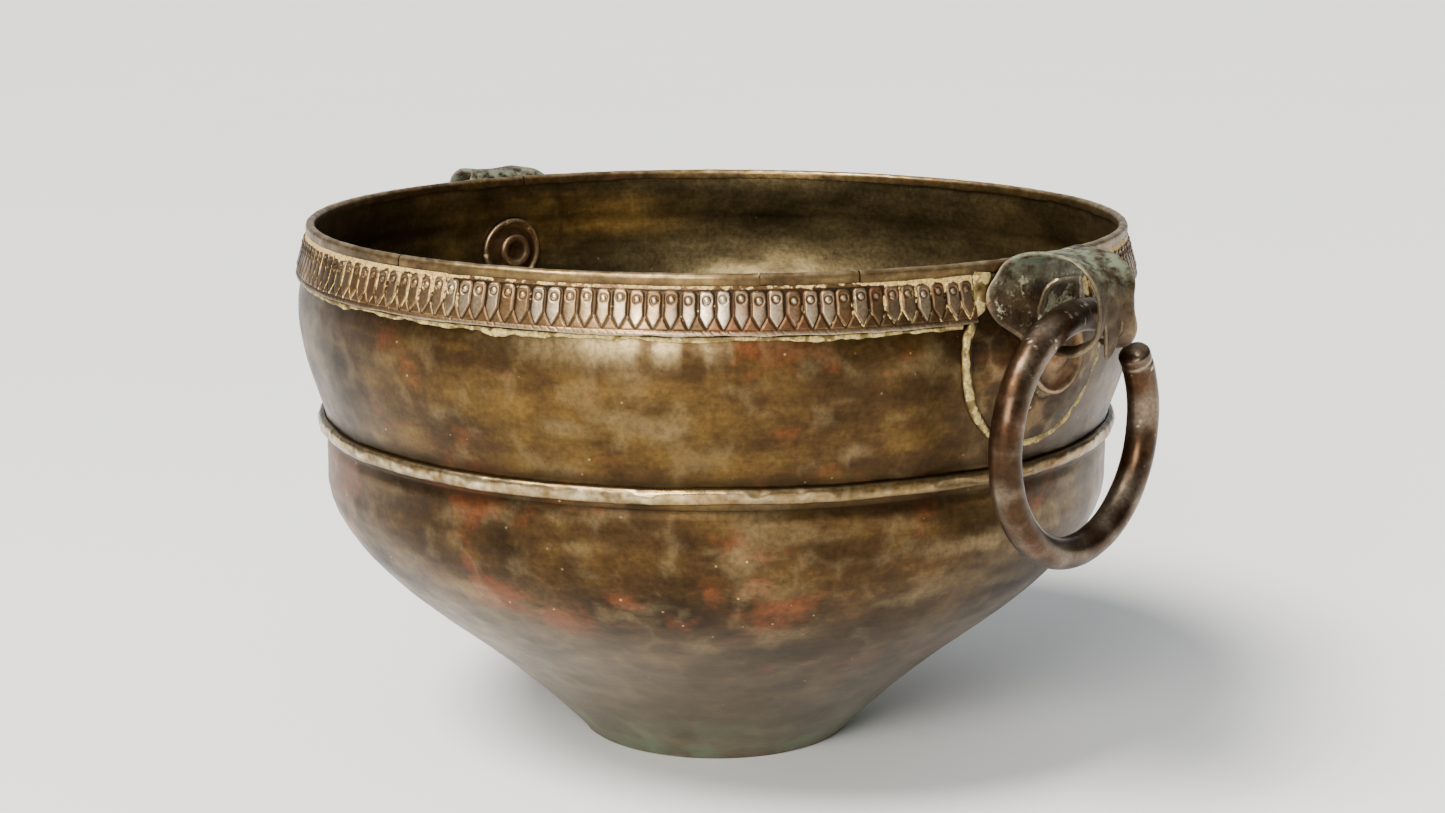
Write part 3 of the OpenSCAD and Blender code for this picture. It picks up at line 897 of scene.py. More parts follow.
@dataclass
class Frieze:
    """Band of punched panels: pencil points hanging down, triangles standing between them."""

    where: str
    # Degrees round the bowl where the band is rubbed cleanest, and how far that reaches
    clean_at: float = -52.0
    clean_reach: float = 37.0
    pitch: float = 7.25
    mesh_mm: float = 0.37
    rows: int = 64
    body_lift: float = 0.66
    tooth_lift: float = 0.5
    groove: float = 0.5
    lip_lift: float = 0.62
    seed: int = 300

    def punched(self, along: np.ndarray, up: np.ndarray, count: int) -> tuple:
        """Height of the relief over the band, and how much pale dirt lies in it.

        Args:
            along: Millimetres along the band.
            up: Millimetres above the band's lower edge.
            count: How many panels the band has.

        Returns:
            Relief in millimetres, and how near each point lies to a sunk line, 0 to 1.
        """
        rng = np.random.default_rng(self.seed)
        which = np.clip(np.floor(along / self.pitch).astype(int), 0, count - 1)
        shift, tip, dot, wide, deep = (rng.uniform(-1, 1, count)[which] for _ in range(5))
        x = along - (which + 0.5) * self.pitch - 0.28 * shift
        top_y = 18.6 + 0.35 * dot
        tip_y, turn_y = 2.9 + 0.5 * tip, 8.6 + 0.7 * shift
        full = self.pitch * (0.44 + 0.02 * wide)
        taper = np.clip((up - tip_y) / (turn_y - tip_y), 0, 1)
        half = full * taper**0.92
        waist = 0.16 * np.exp(-(((up - 12.2) / 1.6) ** 2))
        side = half - waist - np.abs(x)
        corner = 2.1
        qx, qy = np.abs(x) - (full - corner), up - (top_y - corner)
        rounded = np.where((qx > 0) & (qy > 0), corner - np.hypot(qx, qy), np.minimum(side, top_y - up))
        inside = np.minimum(rounded, side)
        lean = (turn_y - tip_y) / np.hypot(turn_y - tip_y, full)
        inside = np.where(up < turn_y, side * lean, inside)
        outside = np.where(up < turn_y, (np.abs(x) - half) * lean - 0.3, -1.0)
        body = ease((inside + 0.05) / 0.7) * (1 + 0.25 * deep)
        tooth = ease(np.minimum(outside, up - 2.5) / 0.6) * (up < turn_y)
        crown = 0.2 * np.clip(1 - (x / full) ** 2, 0, 1) * body
        relief = self.body_lift * body + self.tooth_lift * tooth + crown
        dot_y = 14.9 + 0.6 * dot
        away = np.hypot(x - 0.25 * tip, up - dot_y)
        relief -= self.groove * np.exp(-(((away - 1.65) / 0.34) ** 2)) * (1 + 0.3 * wide)
        relief += 0.3 * ease((1.15 - away) / 0.8)
        lip = np.clip(1 - ((up - 1.25) / 1.35) ** 2, 0, 1) ** 0.5
        nicks = (along + 0.8 * up) / (self.pitch * 0.5)
        cut = np.exp(-((((nicks - np.round(nicks)) * self.pitch * 0.5) / 0.35) ** 2))
        relief = np.where(up < 2.6, self.lip_lift * lip - 0.3 * cut * lip * (1 + deep) * 0.5, relief)
        relief = np.where(up > top_y + 0.2, 0.12, relief)
        sunk = 1 - ease(np.maximum(inside, outside) / 0.42)
        sunk = np.where(up < 2.4, 0.35 * cut, sunk)
        ring = np.exp(-(((away - 1.65) / 0.42) ** 2))
        return relief, np.clip(np.maximum(sunk, 0.6 * ring), 0, 1)

    def build(self, finish: bpy.types.Material) -> bpy.types.Object:
        """Build the band.

        Args:
            finish: Its material.

        Returns:
            The piece.
        """
        name = f"frieze_{self.where}"
        reach = Reach.of(name)
        start, stop = Reach.arc(name)
        tree = face_tree(name)
        middle = (start + stop) / 2
        high = reach.z_high - reach.z_low
        up = np.linspace(0, high, self.rows)
        way = Vector((math.cos(middle), math.sin(middle), 0))
        face = []
        for h in np.clip(up + reach.z_low, reach.z_low + 0.05, reach.z_high - 0.05):
            spot = way * 0.3 + Vector((0, 0, h * MM))
            hit = tree.ray_cast(spot, -way)[0]
            face.append(math.hypot(hit.x, hit.y) / MM if hit else reach.r_high)
        face = np.array(face)
        back = face - 1.1
        length = (stop - start) * float(face.mean())
        count = int(round(length / self.pitch))
        cols = int(length / self.mesh_mm)
        turn = np.linspace(start, stop, cols)
        s, w = np.meshgrid(np.linspace(0, count * self.pitch, cols), up, indexing="ij")
        relief, sunk = self.punched(s, w, count)
        uneven = cloud(np.stack([s, w, s * 0], -1), 30.0, self.seed + 5, 2)
        relief = relief * (0.88 + 0.2 * uneven) - 0.25
        outer = ring_of(np.stack([np.broadcast_to(face, (cols, self.rows)) + relief,
                                  np.broadcast_to(up + reach.z_low, (cols, self.rows))], -1), turn)
        ragged = cloud(np.stack([s, s * 0, s * 0], -1), 12.0, self.seed + 6, 2)
        outer[..., 2] += ease(1 - w / 2.2) * (0.35 * ragged + 0.15)
        inner = ring_of(np.stack([back[::-6], (up + reach.z_low)[::-6]], -1), turn)
        inner[..., 2] = np.maximum(inner[..., 2], reach.z_low + 0.3)
        points = WALL.settle(np.concatenate([outer, inner], 1))
        # Rubbed clean where it is touched most, pale dirt left in the lines elsewhere and along the top
        off = turned_from(turn, self.clean_at)
        turned = np.broadcast_to(np.abs(off)[:, None] / math.radians(self.clean_reach), s.shape)
        blotch = cloud(np.stack([s, w * 2, s * 0], -1), 22.0, self.seed + 7, 3)
        held = ease((turned + 0.3 * blotch - 0.62) / 0.5)
        shade_top = ease((w - (high - 1.7)) / 0.9)
        fleck = cloud(np.stack([s, w, s * 0], -1), 2.6, self.seed + 8, 2)
        pale = (sunk * (0.12 + 0.62 * held + 0.3 * fleck)
                + shade_top * (0.34 + 0.45 * held + 0.35 * blotch + 0.2 * fleck))
        high_spots = ease((relief - 0.22) / 0.45)
        wear_and_highlight = (high_spots * (0.12 + 0.5 * (1 - held)) * (0.75 + 0.5 * blotch)
                  + 0.4 * ease(1 - w / 2.6) * (1 - 0.5 * held))
        dirt_and_shade = sunk * (0.98 - 0.45 * held) * (w < high - 1.5) + 0.35 * ease(turned - 0.9) * (1 - sunk)
        # The hidden back takes one plain value
        hidden = ((0, 0), (0, inner.shape[1]))
        values = {key: np.pad(v, hidden, constant_values=fill)
                  for key, v, fill in ((WEAR_AND_HIGHLIGHT, wear_and_highlight, 0.0), (DIRT_AND_SHADE, dirt_and_shade, 0.8), (DEPOSIT, pale, 0.0))}
        return swept(points, False, values).piece(name, "frieze_brass", [finish], 75.0)


def solder_run(path: np.ndarray, normal: np.ndarray, width: np.ndarray, height: np.ndarray) -> Solid:
    """A run of hard solder, left as it flowed.

    Args:
        path: Points along the run, on the wall.
        normal: The wall's outward direction at each.
        width: Millimetres across at each point.
        height: Millimetres proud of the wall.

    Returns:
        The solid.
    """
    forward = unit(np.gradient(path, axis=0))
    side = unit(np.cross(forward, normal))
    arc = np.radians(np.linspace(0, 180, 9))
    across = np.cos(arc)[None, :, None] * side[:, None] * (width / 2)[:, None, None]
    up = (np.sin(arc) ** 0.6)[None, :, None] * normal[:, None] * height[:, None, None]
    bedded = side * (width / 3)[:, None]
    bed = np.stack([-bedded - normal * 0.5, bedded - normal * 0.5], 1)
    top = path[:, None] + across + up
    sections = np.concatenate([top, path[:, None] + bed], 1)
    lumps = cloud(sections, 4.5, 61, 3)
    sections = sections + normal[:, None] * (0.42 * lumps)[..., None]
    # Darker along both edges: dirt where the run meets the wall, and under the band a painted shadow
    edge = np.concatenate([np.abs(np.cos(arc)) ** 6, [1, 1]])
    dirt_and_shade = edge * 0.9 + 0.55 * ease((-lumps - 0.1) / 0.5)
    deposit = 0.62 - edge * 0.6 + 0.7 * lumps
    return swept(sections, False, {DEPOSIT: deposit, DIRT_AND_SHADE: dirt_and_shade, WEAR_AND_HIGHLIGHT: 0.5 * lumps})


@dataclass
class FriezeSolder:
    """Pale hard solder showing under the band, wavy where it ran."""

    where: str
    step_mm: float = 1.0
    width: float = 2.3
    proud: float = 1.0

    def build(self, finish: bpy.types.Material) -> bpy.types.Object:
        """Build the run.

        Args:
            finish: Its material.

        Returns:
            The piece.
        """
        name = f"frieze_solder_{self.where}"
        reach = Reach.of(name)
        start, stop = Reach.arc(name)
        count = int((stop - start) * reach.r_high / self.step_mm)
        turn = np.linspace(start, stop, count)
        guide = np.stack([WALL_R * np.cos(turn), WALL_R * np.sin(turn), turn * 0], -1)
        width = self.width + 1.0 * cloud(guide, 34.0, 71, 2) + 0.8 * cloud(guide, 8.0, 72, 3)
        width = np.clip(width, 1.2, reach.z_high - reach.z_low + 1.4)
        z = reach.z_high + 0.35 - width / 2
        r = WALL.outer(z)
        path = np.stack([r * np.cos(turn), r * np.sin(turn), z], -1)
        normal = np.stack([np.cos(turn), np.sin(turn), turn * 0], -1)
        taper = ease(np.minimum(turn - start, stop - turn) * WALL_R / 5.0) * 0.8 + 0.2
        solid = solder_run(path, normal, width, self.proud * taper)
        solid.points = WALL.settle(solid.points)
        return solid.piece(name, "hard_solder", [finish], 60.0)


# ---- lugs ---------------------------------------------------------------------------


@dataclass
class Lug:
    """Everything that holds one ring: leaf plate, its solder, hooded strap, tongue, rivet and rove."""

    side: Side
    plate_t: float = 1.6
    leaf_half: float = 44.0
    leaf_low: float = 176.6
    strap_t: float = 2.5
    # How far the hood's front is knocked aside
    knocked: float = 3.0
    # The rivet's middle below the rim, then its rove and its nub in from the wall's outside
    rivet_drop: float = 41.6
    rove_in: float = 5.1
    nub_in: float = 7.1
    rivet_turns: int = 96

    def __post_init__(self) -> None:
        x, y, z = self.side.joint["pos_m"]
        self.angle = math.atan2(y, x)
        self.hinge_r = math.hypot(x, y) / MM
        self.hinge_z = z / MM
        self.rim = max(Reach.of(f"rim_strip_{i}").r_high for i in range(1, 6))
        self.top = max(Reach.of(f"rim_strip_{i}").z_high for i in range(1, 6))
        self.rivet_z = self.top - self.rivet_drop
        self.seed = self.side.value[1]

    def placed(self, local: np.ndarray) -> np.ndarray:
        """Turn points from the lug's own frame, outwards along X, to where the lug stands."""
        c, s = math.cos(self.angle), math.sin(self.angle)
        x, y, z = local[..., 0], local[..., 1], local[..., 2]
        return np.stack([x * c - y * s, x * s + y * c, z], -1)

    def on_wall(self, t: np.ndarray, z: np.ndarray, out: np.ndarray | float) -> np.ndarray:
        """Points beside the wall at distance t from the lug's middle, in the lug's own frame."""
        r = WALL.outer(z) + out
        return np.stack([np.sqrt(np.maximum(r**2 - t**2, 1.0)), t + z * 0, z + t * 0], -1)

    def finished(self, solid: Solid, piece: str, finish: bpy.types.Material, slot: str,
                 crease: float = 50.0) -> bpy.types.Object:
        """Turn a solid in the lug's frame to a piece of the bowl.

        Args:
            solid: The solid, in the lug's own frame.
            piece: The piece's name without its side.
            finish: Its material.
            slot: Its slot in the record.
            crease: Edges sharper than this stay crisp.

        Returns:
            The piece.
        """
        solid.points = WALL.settle(self.placed(solid.points))
        return solid.piece(f"{piece}_{self.side.value[0]}", slot, [finish], crease)

    def leaf_edge(self) -> np.ndarray:
        """Right-hand edge of the leaf plate from its foot to the rim, as distance and height."""
        h, low = self.leaf_half, self.leaf_low
        top = self.top
        return spline(np.array([[0.0, low], [14, low + 1.6], [27, low + 8.6], [36.5, low + 19.5],
                                [42.4, low + 31], [h, low + 41.4], [43.2, low + 49],
                                [39.6, low + 55.5], [36.6, top - 17], [35.0, top - 6.4]]), 90)

    def leaf_plate(self, finish: bpy.types.Material) -> bpy.types.Object:
        """Leaf-shaped plate on the wall.

        Args:
            finish: Its material.

        Returns:
            The piece.
        """
        edge = self.leaf_edge()
        z = np.concatenate([self.leaf_low + 0.2 + (np.linspace(0, 1, 14) ** 2) * 12,
                            np.linspace(self.leaf_low + 13, edge[-1, 1], 52)])
        half = np.maximum(np.interp(z, edge[:, 1], edge[:, 0]), 2.0)
        half = half + 0.5 * cloud(np.stack([half * 0, half, z], -1), 16.0, self.seed, 2)
        u = np.linspace(-1, 1, 71)
        t = half[:, None] * u[None, :]
        zz = np.broadcast_to(z[:, None], t.shape)
        marks = hammer_marks(np.stack([t * 0, t, zz], -1), 11.0, self.seed + 3)
        mid = self.on_wall(t, zz, 0.05 + self.plate_t / 2 + 0.3 * (marks - 0.5))
        near = 1 - ease((half[:, None] * (1 - np.abs(u))[None]) / 3.5)
        low_edge = 1 - ease((zz - self.leaf_low) / 6)
        values = {DIRT_AND_SHADE: 0.5 * near + 0.2 * (1 - marks),
                  WEAR_AND_HIGHLIGHT: 0.25 * ease((marks - 0.5) / 0.5) * (1 - low_edge)}
        return self.finished(sheet_solid(mid, self.plate_t, values), "lug_plate", finish, "plate_brass")

    def leaf_solder(self, finish: bpy.types.Material) -> bpy.types.Object:
        """Pale border of solder round the leaf plate.

        Args:
            finish: Its material.

        Returns:
            The piece.
        """
        edge = self.leaf_edge()[3:]
        keep = edge[:, 1] < self.top - 7.5
        edge = edge[keep]
        whole = spline(np.vstack([edge[::-1] * [-1, 1], [[0, self.leaf_low]], edge]), 300)
        guide = np.stack([whole[:, 0], whole[:, 1], whole[:, 0] * 0], -1)
        width = 4.1 + 0.9 * cloud(guide, 17.0, self.seed + 5, 2) + 0.5 * cloud(guide, 5.0, self.seed + 6, 2)
        high = ease((whole[:, 1] - (self.top - 26)) / 6)
        width = width * (1 + 1.5 * high)
        away = unit(whole - np.array([0, self.rivet_z])) * (width * 0.42)[:, None]
        # At the top it spreads over the plate, as far as the leaf of the strap
        away[:, 0] = away[:, 0] * (1 - high) - 2.6 * np.sign(whole[:, 0]) * high
        flat = whole + away
        path = self.on_wall(flat[:, 0], flat[:, 1], 0.1)
        normal = unit(path * [1, 1, 0])
        return self.finished(solder_run(path, normal, width, 1.25 + 1.0 * high), "lug_solder", finish,
                             "hard_solder", 60.0)

    def hood_lines(self) -> tuple:
        """Middle lines of the strap: leaf, rim fold and front, then either lobe or beak.

        Returns:
            Points of the shared run, of the lobe's curl and of the beak.
        """
        rim, top = self.rim, self.top
        up = self.rivet_z + np.array([-20.0, -8.0, 8.0, 19.0, 27.0])
        leaf = np.stack([WALL.outer(up) + self.plate_t + 0.1 + self.strap_t / 2, up], -1)
        shared = np.vstack([leaf, [[rim + 2.4, top - 7.5], [rim + 2.8, top - 2.6], [rim + 6.4, top + 0.6],
                                   [rim + 13, top + 1.5], [rim + 23.5, top + 0.4], [rim + 32, top - 3.2],
                                   [rim + 37.2, top - 9], [rim + 38.6, top - 16]]])
        lobe = np.array([[rim + 38.6, top - 16], [rim + 38.7, top - 21], [rim + 38.0, top - 27],
                         [rim + 35, top - 31.6], [rim + 28.5, top - 33.8], [rim + 21.5, top - 33]])
        beak = np.array([[rim + 38.6, top - 16], [rim + 38.8, top - 22], [rim + 38.8, top - 29],
                         [rim + 38.4, top - 35], [rim + 37.6, top - 40], [rim + 37.0, top - 42]])
        return spline(shared, 120), spline(lobe, 60), spline(beak, 60)

    def hooded_strap(self, finish: bpy.types.Material) -> bpy.types.Object:
        """Strap whose leaf lies on the plate and whose top folds out into a hood over the bar.

        Args:
            finish: Its material.

        Returns:
            The piece.
        """
        shared, lobe, beak = self.hood_lines()
        steps, cols = 190, 81
        run, curl, point = (np.linalg.norm(np.diff(line, axis=0), axis=1).sum()
                            for line in (shared, lobe, beak))
        u = np.linspace(-1, 1, cols)
        au = np.abs(u)
        # How far each strip of the sheet reaches past the front: beak, notch, then lobe
        beak_end = point * (0.98 - 0.66 * ease(au / 0.5) ** 1.15)
        lobe_end = curl * (0.36 + 0.62 * np.sin(np.clip((au - 0.46) / 0.5, 0, 1) * math.pi * 0.62) ** 0.9)
        end = run + np.where(au < 0.48, beak_end, np.maximum(lobe_end, beak_end * (au < 0.5)))
        end = np.convolve(np.pad(end, 2, "edge"), np.ones(5) / 5, "valid")
        far = np.linspace(0, 1, steps)[:, None] * end[None, :]
        at_run = np.linspace(0, run, len(shared))
        ways = []
        for tail, length in ((lobe, curl), (beak, point)):
            at = np.concatenate([at_run, run + np.linspace(0, length, len(tail))])
            ways.append([np.interp(far, at, np.concatenate([shared[:, k], tail[:, k]])) for k in (0, 1)])
        (lobe_x, lobe_z), (beak_x, beak_z) = ways
        share = ease((au - 0.4) / 0.16)[None, :]
        x, z = beak_x + (lobe_x - beak_x) * share, beak_z + (lobe_z - beak_z) * share
        # Half width along the strap: narrow leaf, broad shoulders at the rim, slim front
        leaf_run = float(np.interp(self.top - 5, shared[:70, 1], at_run[:70]))
        stops = np.array([0, 0.04, 0.12, 0.3, 0.44, 0.53, 0.63, 0.76, 0.88, 1.0]) * leaf_run
        stops = np.concatenate([stops, leaf_run + np.array([4, 8, 14, 24, 36, 46]),
                                run + np.array([-3, 6, 20, 34])])
        halves = np.array([2.0, 7.0, 10.5, 12.4, 14.0, 20.5, 29.0, 33.0, 32.0, 26.5,
                           22.5, 18.5, 15.6, 15.2, 14.6, 13.2, 12.0, 11.8, 16.5, 18.0])
        half = np.interp(far, stops, halves)
        smooth = np.ones(9) / 9
        half = np.apply_along_axis(lambda c: np.convolve(np.pad(c, 4, "edge"), smooth, "valid"), 0, half)
        # The front of the hood has been knocked a little to one side
        t = half * u[None, :] + self.knocked * ease((far - leaf_run * 0.85) / 24)
        line = np.stack([x, z], -1)
        slope = unit(np.gradient(line, axis=0))
        out = np.stack([slope[..., 1], -slope[..., 0]], -1)
        # Crowned across: with the wall at the leaf, tighter over the bar
        tight = np.interp(far, [0, leaf_run * 0.9, leaf_run + 22, leaf_run + 44, run + 12, run + 40],
                          [1 / 200, 1 / 200, 1 / 74, 1 / 34, 1 / 22, 1 / 30])
        dome = 2.4 * np.exp(-(((far / leaf_run - 0.72) / 0.22) ** 2)) * np.clip(1 - au[None] ** 2, 0, 1)
        drop = -((half * u[None, :]) ** 2) * tight / 2 + dome
        mid = np.stack([x + out[..., 0] * drop, t, z + out[..., 1] * drop], -1)
        marks = hammer_marks(mid, 9.0, self.seed + 7)
        lumps = cloud(mid, 7.0, self.seed + 8, 3)
        mid[..., 0] += out[..., 0] * (0.35 * (marks - 0.5) + 0.14 * lumps)
        mid[..., 2] += out[..., 1] * (0.35 * (marks - 0.5) + 0.14 * lumps)
        margin = np.minimum(half * (1 - au[None]), end[None] - far)
        thick = self.strap_t * (0.62 + 0.38 * ease(margin / 2.2))
        on_leaf = ease((leaf_run * 1.02 - far) / 6)
        on_top = ease((far - leaf_run * 0.98) / 5) * ease((leaf_run + 30 - far) / 12)
        # Brighter along the hood's edges: a painted edge highlight, with wear on the hammer ridges
        values = {WEAR_AND_HIGHLIGHT: 0.3 * (1 - ease(margin / 0.9)) * (1 - on_leaf) + 0.16 * marks * (1 - on_top),
                  DIRT_AND_SHADE: (0.35 * (1 - marks) + 0.2) * (1 - on_leaf),
                  DEPOSIT: 0.34 * on_leaf + 0.22 * on_leaf * lumps + 0.52 * on_top * (0.6 + 0.7 * lumps)}
        return self.finished(sheet_solid(mid, thick, values), "hood_strap", finish, "strap_brass")

    def curled_tongue(self, finish: bpy.types.Material) -> bpy.types.Object:
        """Tongue behind the bar, held by the rivet, with its edge and end turned out.

        Args:
            finish: Its material.

        Returns:
            The piece.
        """
        face = float(WALL.outer(self.rivet_z)) + self.plate_t + 4.4
        rz = self.rivet_z
        line = spline(np.array([[face, rz - 15], [face, rz - 4], [face + 0.1, rz + 8], [face + 0.4, rz + 18],
                                [face + 1.2, rz + 25], [face + 2.8, rz + 30.5], [face + 5.0, rz + 33.2]]), 70)
        u = np.linspace(-1, 1, 41)
        far = np.linspace(0, 1, 70)
        half = np.interp(far, [0, 0.08, 0.25, 0.5, 0.72, 0.9, 1.0], [3.5, 8.6, 11.6, 12.6, 13.6, 11.5, 7.5])
        t = half[:, None] * u[None]
        turned = 1.9 * np.abs(u[None]) ** 3 * ease((far[:, None] - 0.35) / 0.3)
        mid = np.stack([line[:, :1] + turned + 0 * t, t, line[:, 1:] + 0 * t], -1)
        lumps = cloud(mid, 6.0, self.seed + 9, 3)
        mid[..., 0] += 0.25 * lumps
        edge = ease((np.abs(u)[None] - 0.7) / 0.3) + ease((far[:, None] - 0.9) / 0.1)
        values = {DEPOSIT: np.clip(0.42 + 0.5 * lumps - 0.3 * edge, 0, 1) * ease((far[:, None] - 0.3) / 0.2),
                  WEAR_AND_HIGHLIGHT: 0.3 * edge, DIRT_AND_SHADE: 0.5 - 0.4 * far[:, None] + 0 * t}
        return self.finished(sheet_solid(mid, 1.9, values), "bearing_tongue", finish, "strap_brass")

    def about_rivet(self, line: np.ndarray) -> np.ndarray:
        """Turn a half outline of distance and offset about the rivet, in the lug's frame."""
        a = np.linspace(0, 2 * math.pi, self.rivet_turns, endpoint=False)[:, None]
        return np.stack([np.broadcast_to(line[:, 1], (len(a), len(line))), line[:, 0] * np.cos(a),
                         self.rivet_z + line[:, 0] * np.sin(a)], -1)

    def rivet(self, finish: bpy.types.Material) -> bpy.types.Object:
        """Dished head outside, shank through the wall, peened nub with a sunk middle inside.

        Args:
            finish: Its material.

        Returns:
            The piece.
        """
        wall = float(WALL.outer(self.rivet_z))
        face = wall + 0.05 + self.plate_t + 2.15 + 2.3
        nub = wall - self.nub_in
        half = np.array([[0, face + 3.6], [3.0, face + 3.5], [6.2, face + 2.9], [8.4, face + 1.6],
                         [9.4, face + 1.2], [12.5, face + 1.3], [15.2, face + 1.7], [16.4, face + 2.5],
                         [17.6, face + 2.6], [18.3, face + 1.9], [18.5, face + 1.0], [18.2, face + 0.1],
                         [14, face], [6, face], [4.0, face - 0.3], [4.0, nub + 1.0], [4.2, nub + 0.1],
                         [7.6, nub], [9.2, nub - 0.6], [9.3, nub - 1.6], [8.3, nub - 2.5],
                         [7.0, nub - 2.7], [5.8, nub - 2.2], [4.6, nub - 1.5], [2.4, nub - 1.2],
                         [0, nub - 1.15]])
        base = self.about_rivet(half)
        lumps = cloud(base, 5.0, self.seed + 12, 2)
        base[..., 0] += 0.3 * lumps * ((half[:, 0] > 0.5) & ((half[:, 1] > face) | (half[:, 1] < nub)))
        raised = np.isin(np.arange(len(half)), [7, 8, 9, 20, 21, 22, 19])
        dished = np.isin(np.arange(len(half)), [3, 4, 5, 23, 24, 25])
        values = {WEAR_AND_HIGHLIGHT: 0.35 * raised + 0.05 + 0.2 * lumps, DIRT_AND_SHADE: 0.55 * dished + 0 * lumps}
        return self.finished(spun(base, values), "rivet", finish, "rivet_brass", 70.0)

    def rove(self, finish: bpy.types.Material) -> bpy.types.Object:
        """Dished washer inside the wall, with a raised pale edge.

        Args:
            finish: Its material.

        Returns:
            The piece.
        """
        seat = float(WALL.outer(self.rivet_z)) - self.rove_in
        line = np.array([[4.1, seat + 0.1], [16, seat + 0.2], [17.7, seat], [18.0, seat - 0.9],
                         [17.7, seat - 1.9], [17.0, seat - 2.6], [16.1, seat - 2.6],
                         [15.3, seat - 2.0], [14.0, seat - 1.6], [11.5, seat - 1.55],
                         [8.0, seat - 1.8], [4.1, seat - 1.9]])
        base = self.about_rivet(line)
        # Hammered to the wall's own curve, so its edge beds all round
        inner = np.sqrt(np.maximum(WALL.inner(base[..., 2]) ** 2 - base[..., 1] ** 2, 1.0))
        bed = ease((line[:, 0] - 6.0) / 10.0)
        base[..., 0] += bed * (inner - 0.1 - seat)
        lumps = cloud(base, 5.0, self.seed + 14, 2)
        base[..., 0] += 0.18 * lumps
        raised = np.isin(np.arange(len(line)), [3, 4, 5, 6, 7])
        values = {WEAR_AND_HIGHLIGHT: 0.8 * raised + 0 * lumps, DEPOSIT: 0.3 * raised + 0.3 * lumps * raised,
                  DIRT_AND_SHADE: 0.45 * (~raised) + 0 * lumps}
        return self.finished(swept(base, True, values), "rove", finish, "rivet_brass", 70.0)


@dataclass
class RingHandle:
    """Open ring forged from round bar, its ends domed and one of them grooved."""

    side: Side
    bar_r: float = 7.3
    steps: int = 520
    sides: int = 44
    flat_mm: float = 15.0
    dent: float = 0.17
    groove_back: float = 4.2
    # Degrees from level where the bar starts and stops, and how far its ends dome out
    starts: float = 60.0
    stops: float = 394.0
    dome: float = 3.3

    def build(self, finish: bpy.types.Material) -> bpy.types.Object:
        """Build the ring about its hinge.

        Args:
            finish: Its material.

        Returns:
            The piece.
        """
        which = self.side.value[0]
        joint = self.side.joint
        hinge = np.array(joint["pos_m"]) / MM
        axis = np.array(joint["axis"], float)
        name = f"ring_{which}"
        reach = Reach.of(name)
        ring_r = (hinge[2] - reach.z_low - self.bar_r) / 2
        right = np.array([-axis[0], -axis[1], 0.0])
        out = np.cross(right, [0, 0, 1.0])
        centre = hinge - [0, 0, ring_r]
        start, stop = math.radians(self.starts), math.radians(self.stops)
        turn_dome = np.radians(np.linspace(90, 12, 7))
        body = np.linspace(start, stop, self.steps)
        lead = [start - self.dome * math.sin(a) / ring_r for a in turn_dome]
        tail = [stop + self.dome * math.sin(a) / ring_r for a in turn_dome[::-1]]
        along = np.concatenate([lead, body, tail])
        size = np.concatenate([np.cos(turn_dome), np.ones(self.steps), np.cos(turn_dome[::-1])]) * self.bar_r
        size = np.maximum(size, 0.05)
        size = size - 0.42 * np.exp(-(((along - stop) * ring_r + self.groove_back) / 0.75) ** 2)
        a = np.linspace(0, 2 * math.pi, self.sides, endpoint=False)
        radial = np.cos(along)[:, None] * right + np.sin(along)[:, None] * np.array([0, 0, 1.0])
        way = radial[:, None] * np.cos(a)[None, :, None] + out[None, None] * np.sin(a)[None, :, None]
        base = centre + radial[:, None] * ring_r + way * size[:, None, None]
        seed = self.side.value[1] + 50
        marks = hammer_marks(base, self.flat_mm, seed)
        slow = cloud(base, 26.0, seed + 1, 2)
        fine = cloud(base * [1, 1, 0.6], 1.9, seed + 2, 2)
        ends = ease(size / self.bar_r)[:, None]
        points = base + way * ((-self.dent * (1 - marks) + 0.1 * slow) * ends)[..., None]
        pits = ease((fine - 0.8) / 0.2) * ease((slow - 0.05) / 0.4)
        points = points - way * (0.28 * pits * ends)[..., None]
        groove = np.exp(-(((along - stop) * ring_r + self.groove_back) / 0.9) ** 2)[:, None]
        wear_and_highlight = 0.06 + 0.9 * pits + 0.3 * groove + 0.2 * (marks - 0.5)
        dirt_and_shade = 0.35 * (1 - marks) * ease((-slow + 0.2) / 0.6)
        solid = swept(points, False, {WEAR_AND_HIGHLIGHT: wear_and_highlight, DIRT_AND_SHADE: dirt_and_shade})
        return solid.piece(name, "ring_bar", [finish], 60.0, f"{which}_ring")


# ---- room ---------------------------------------------------------------------------


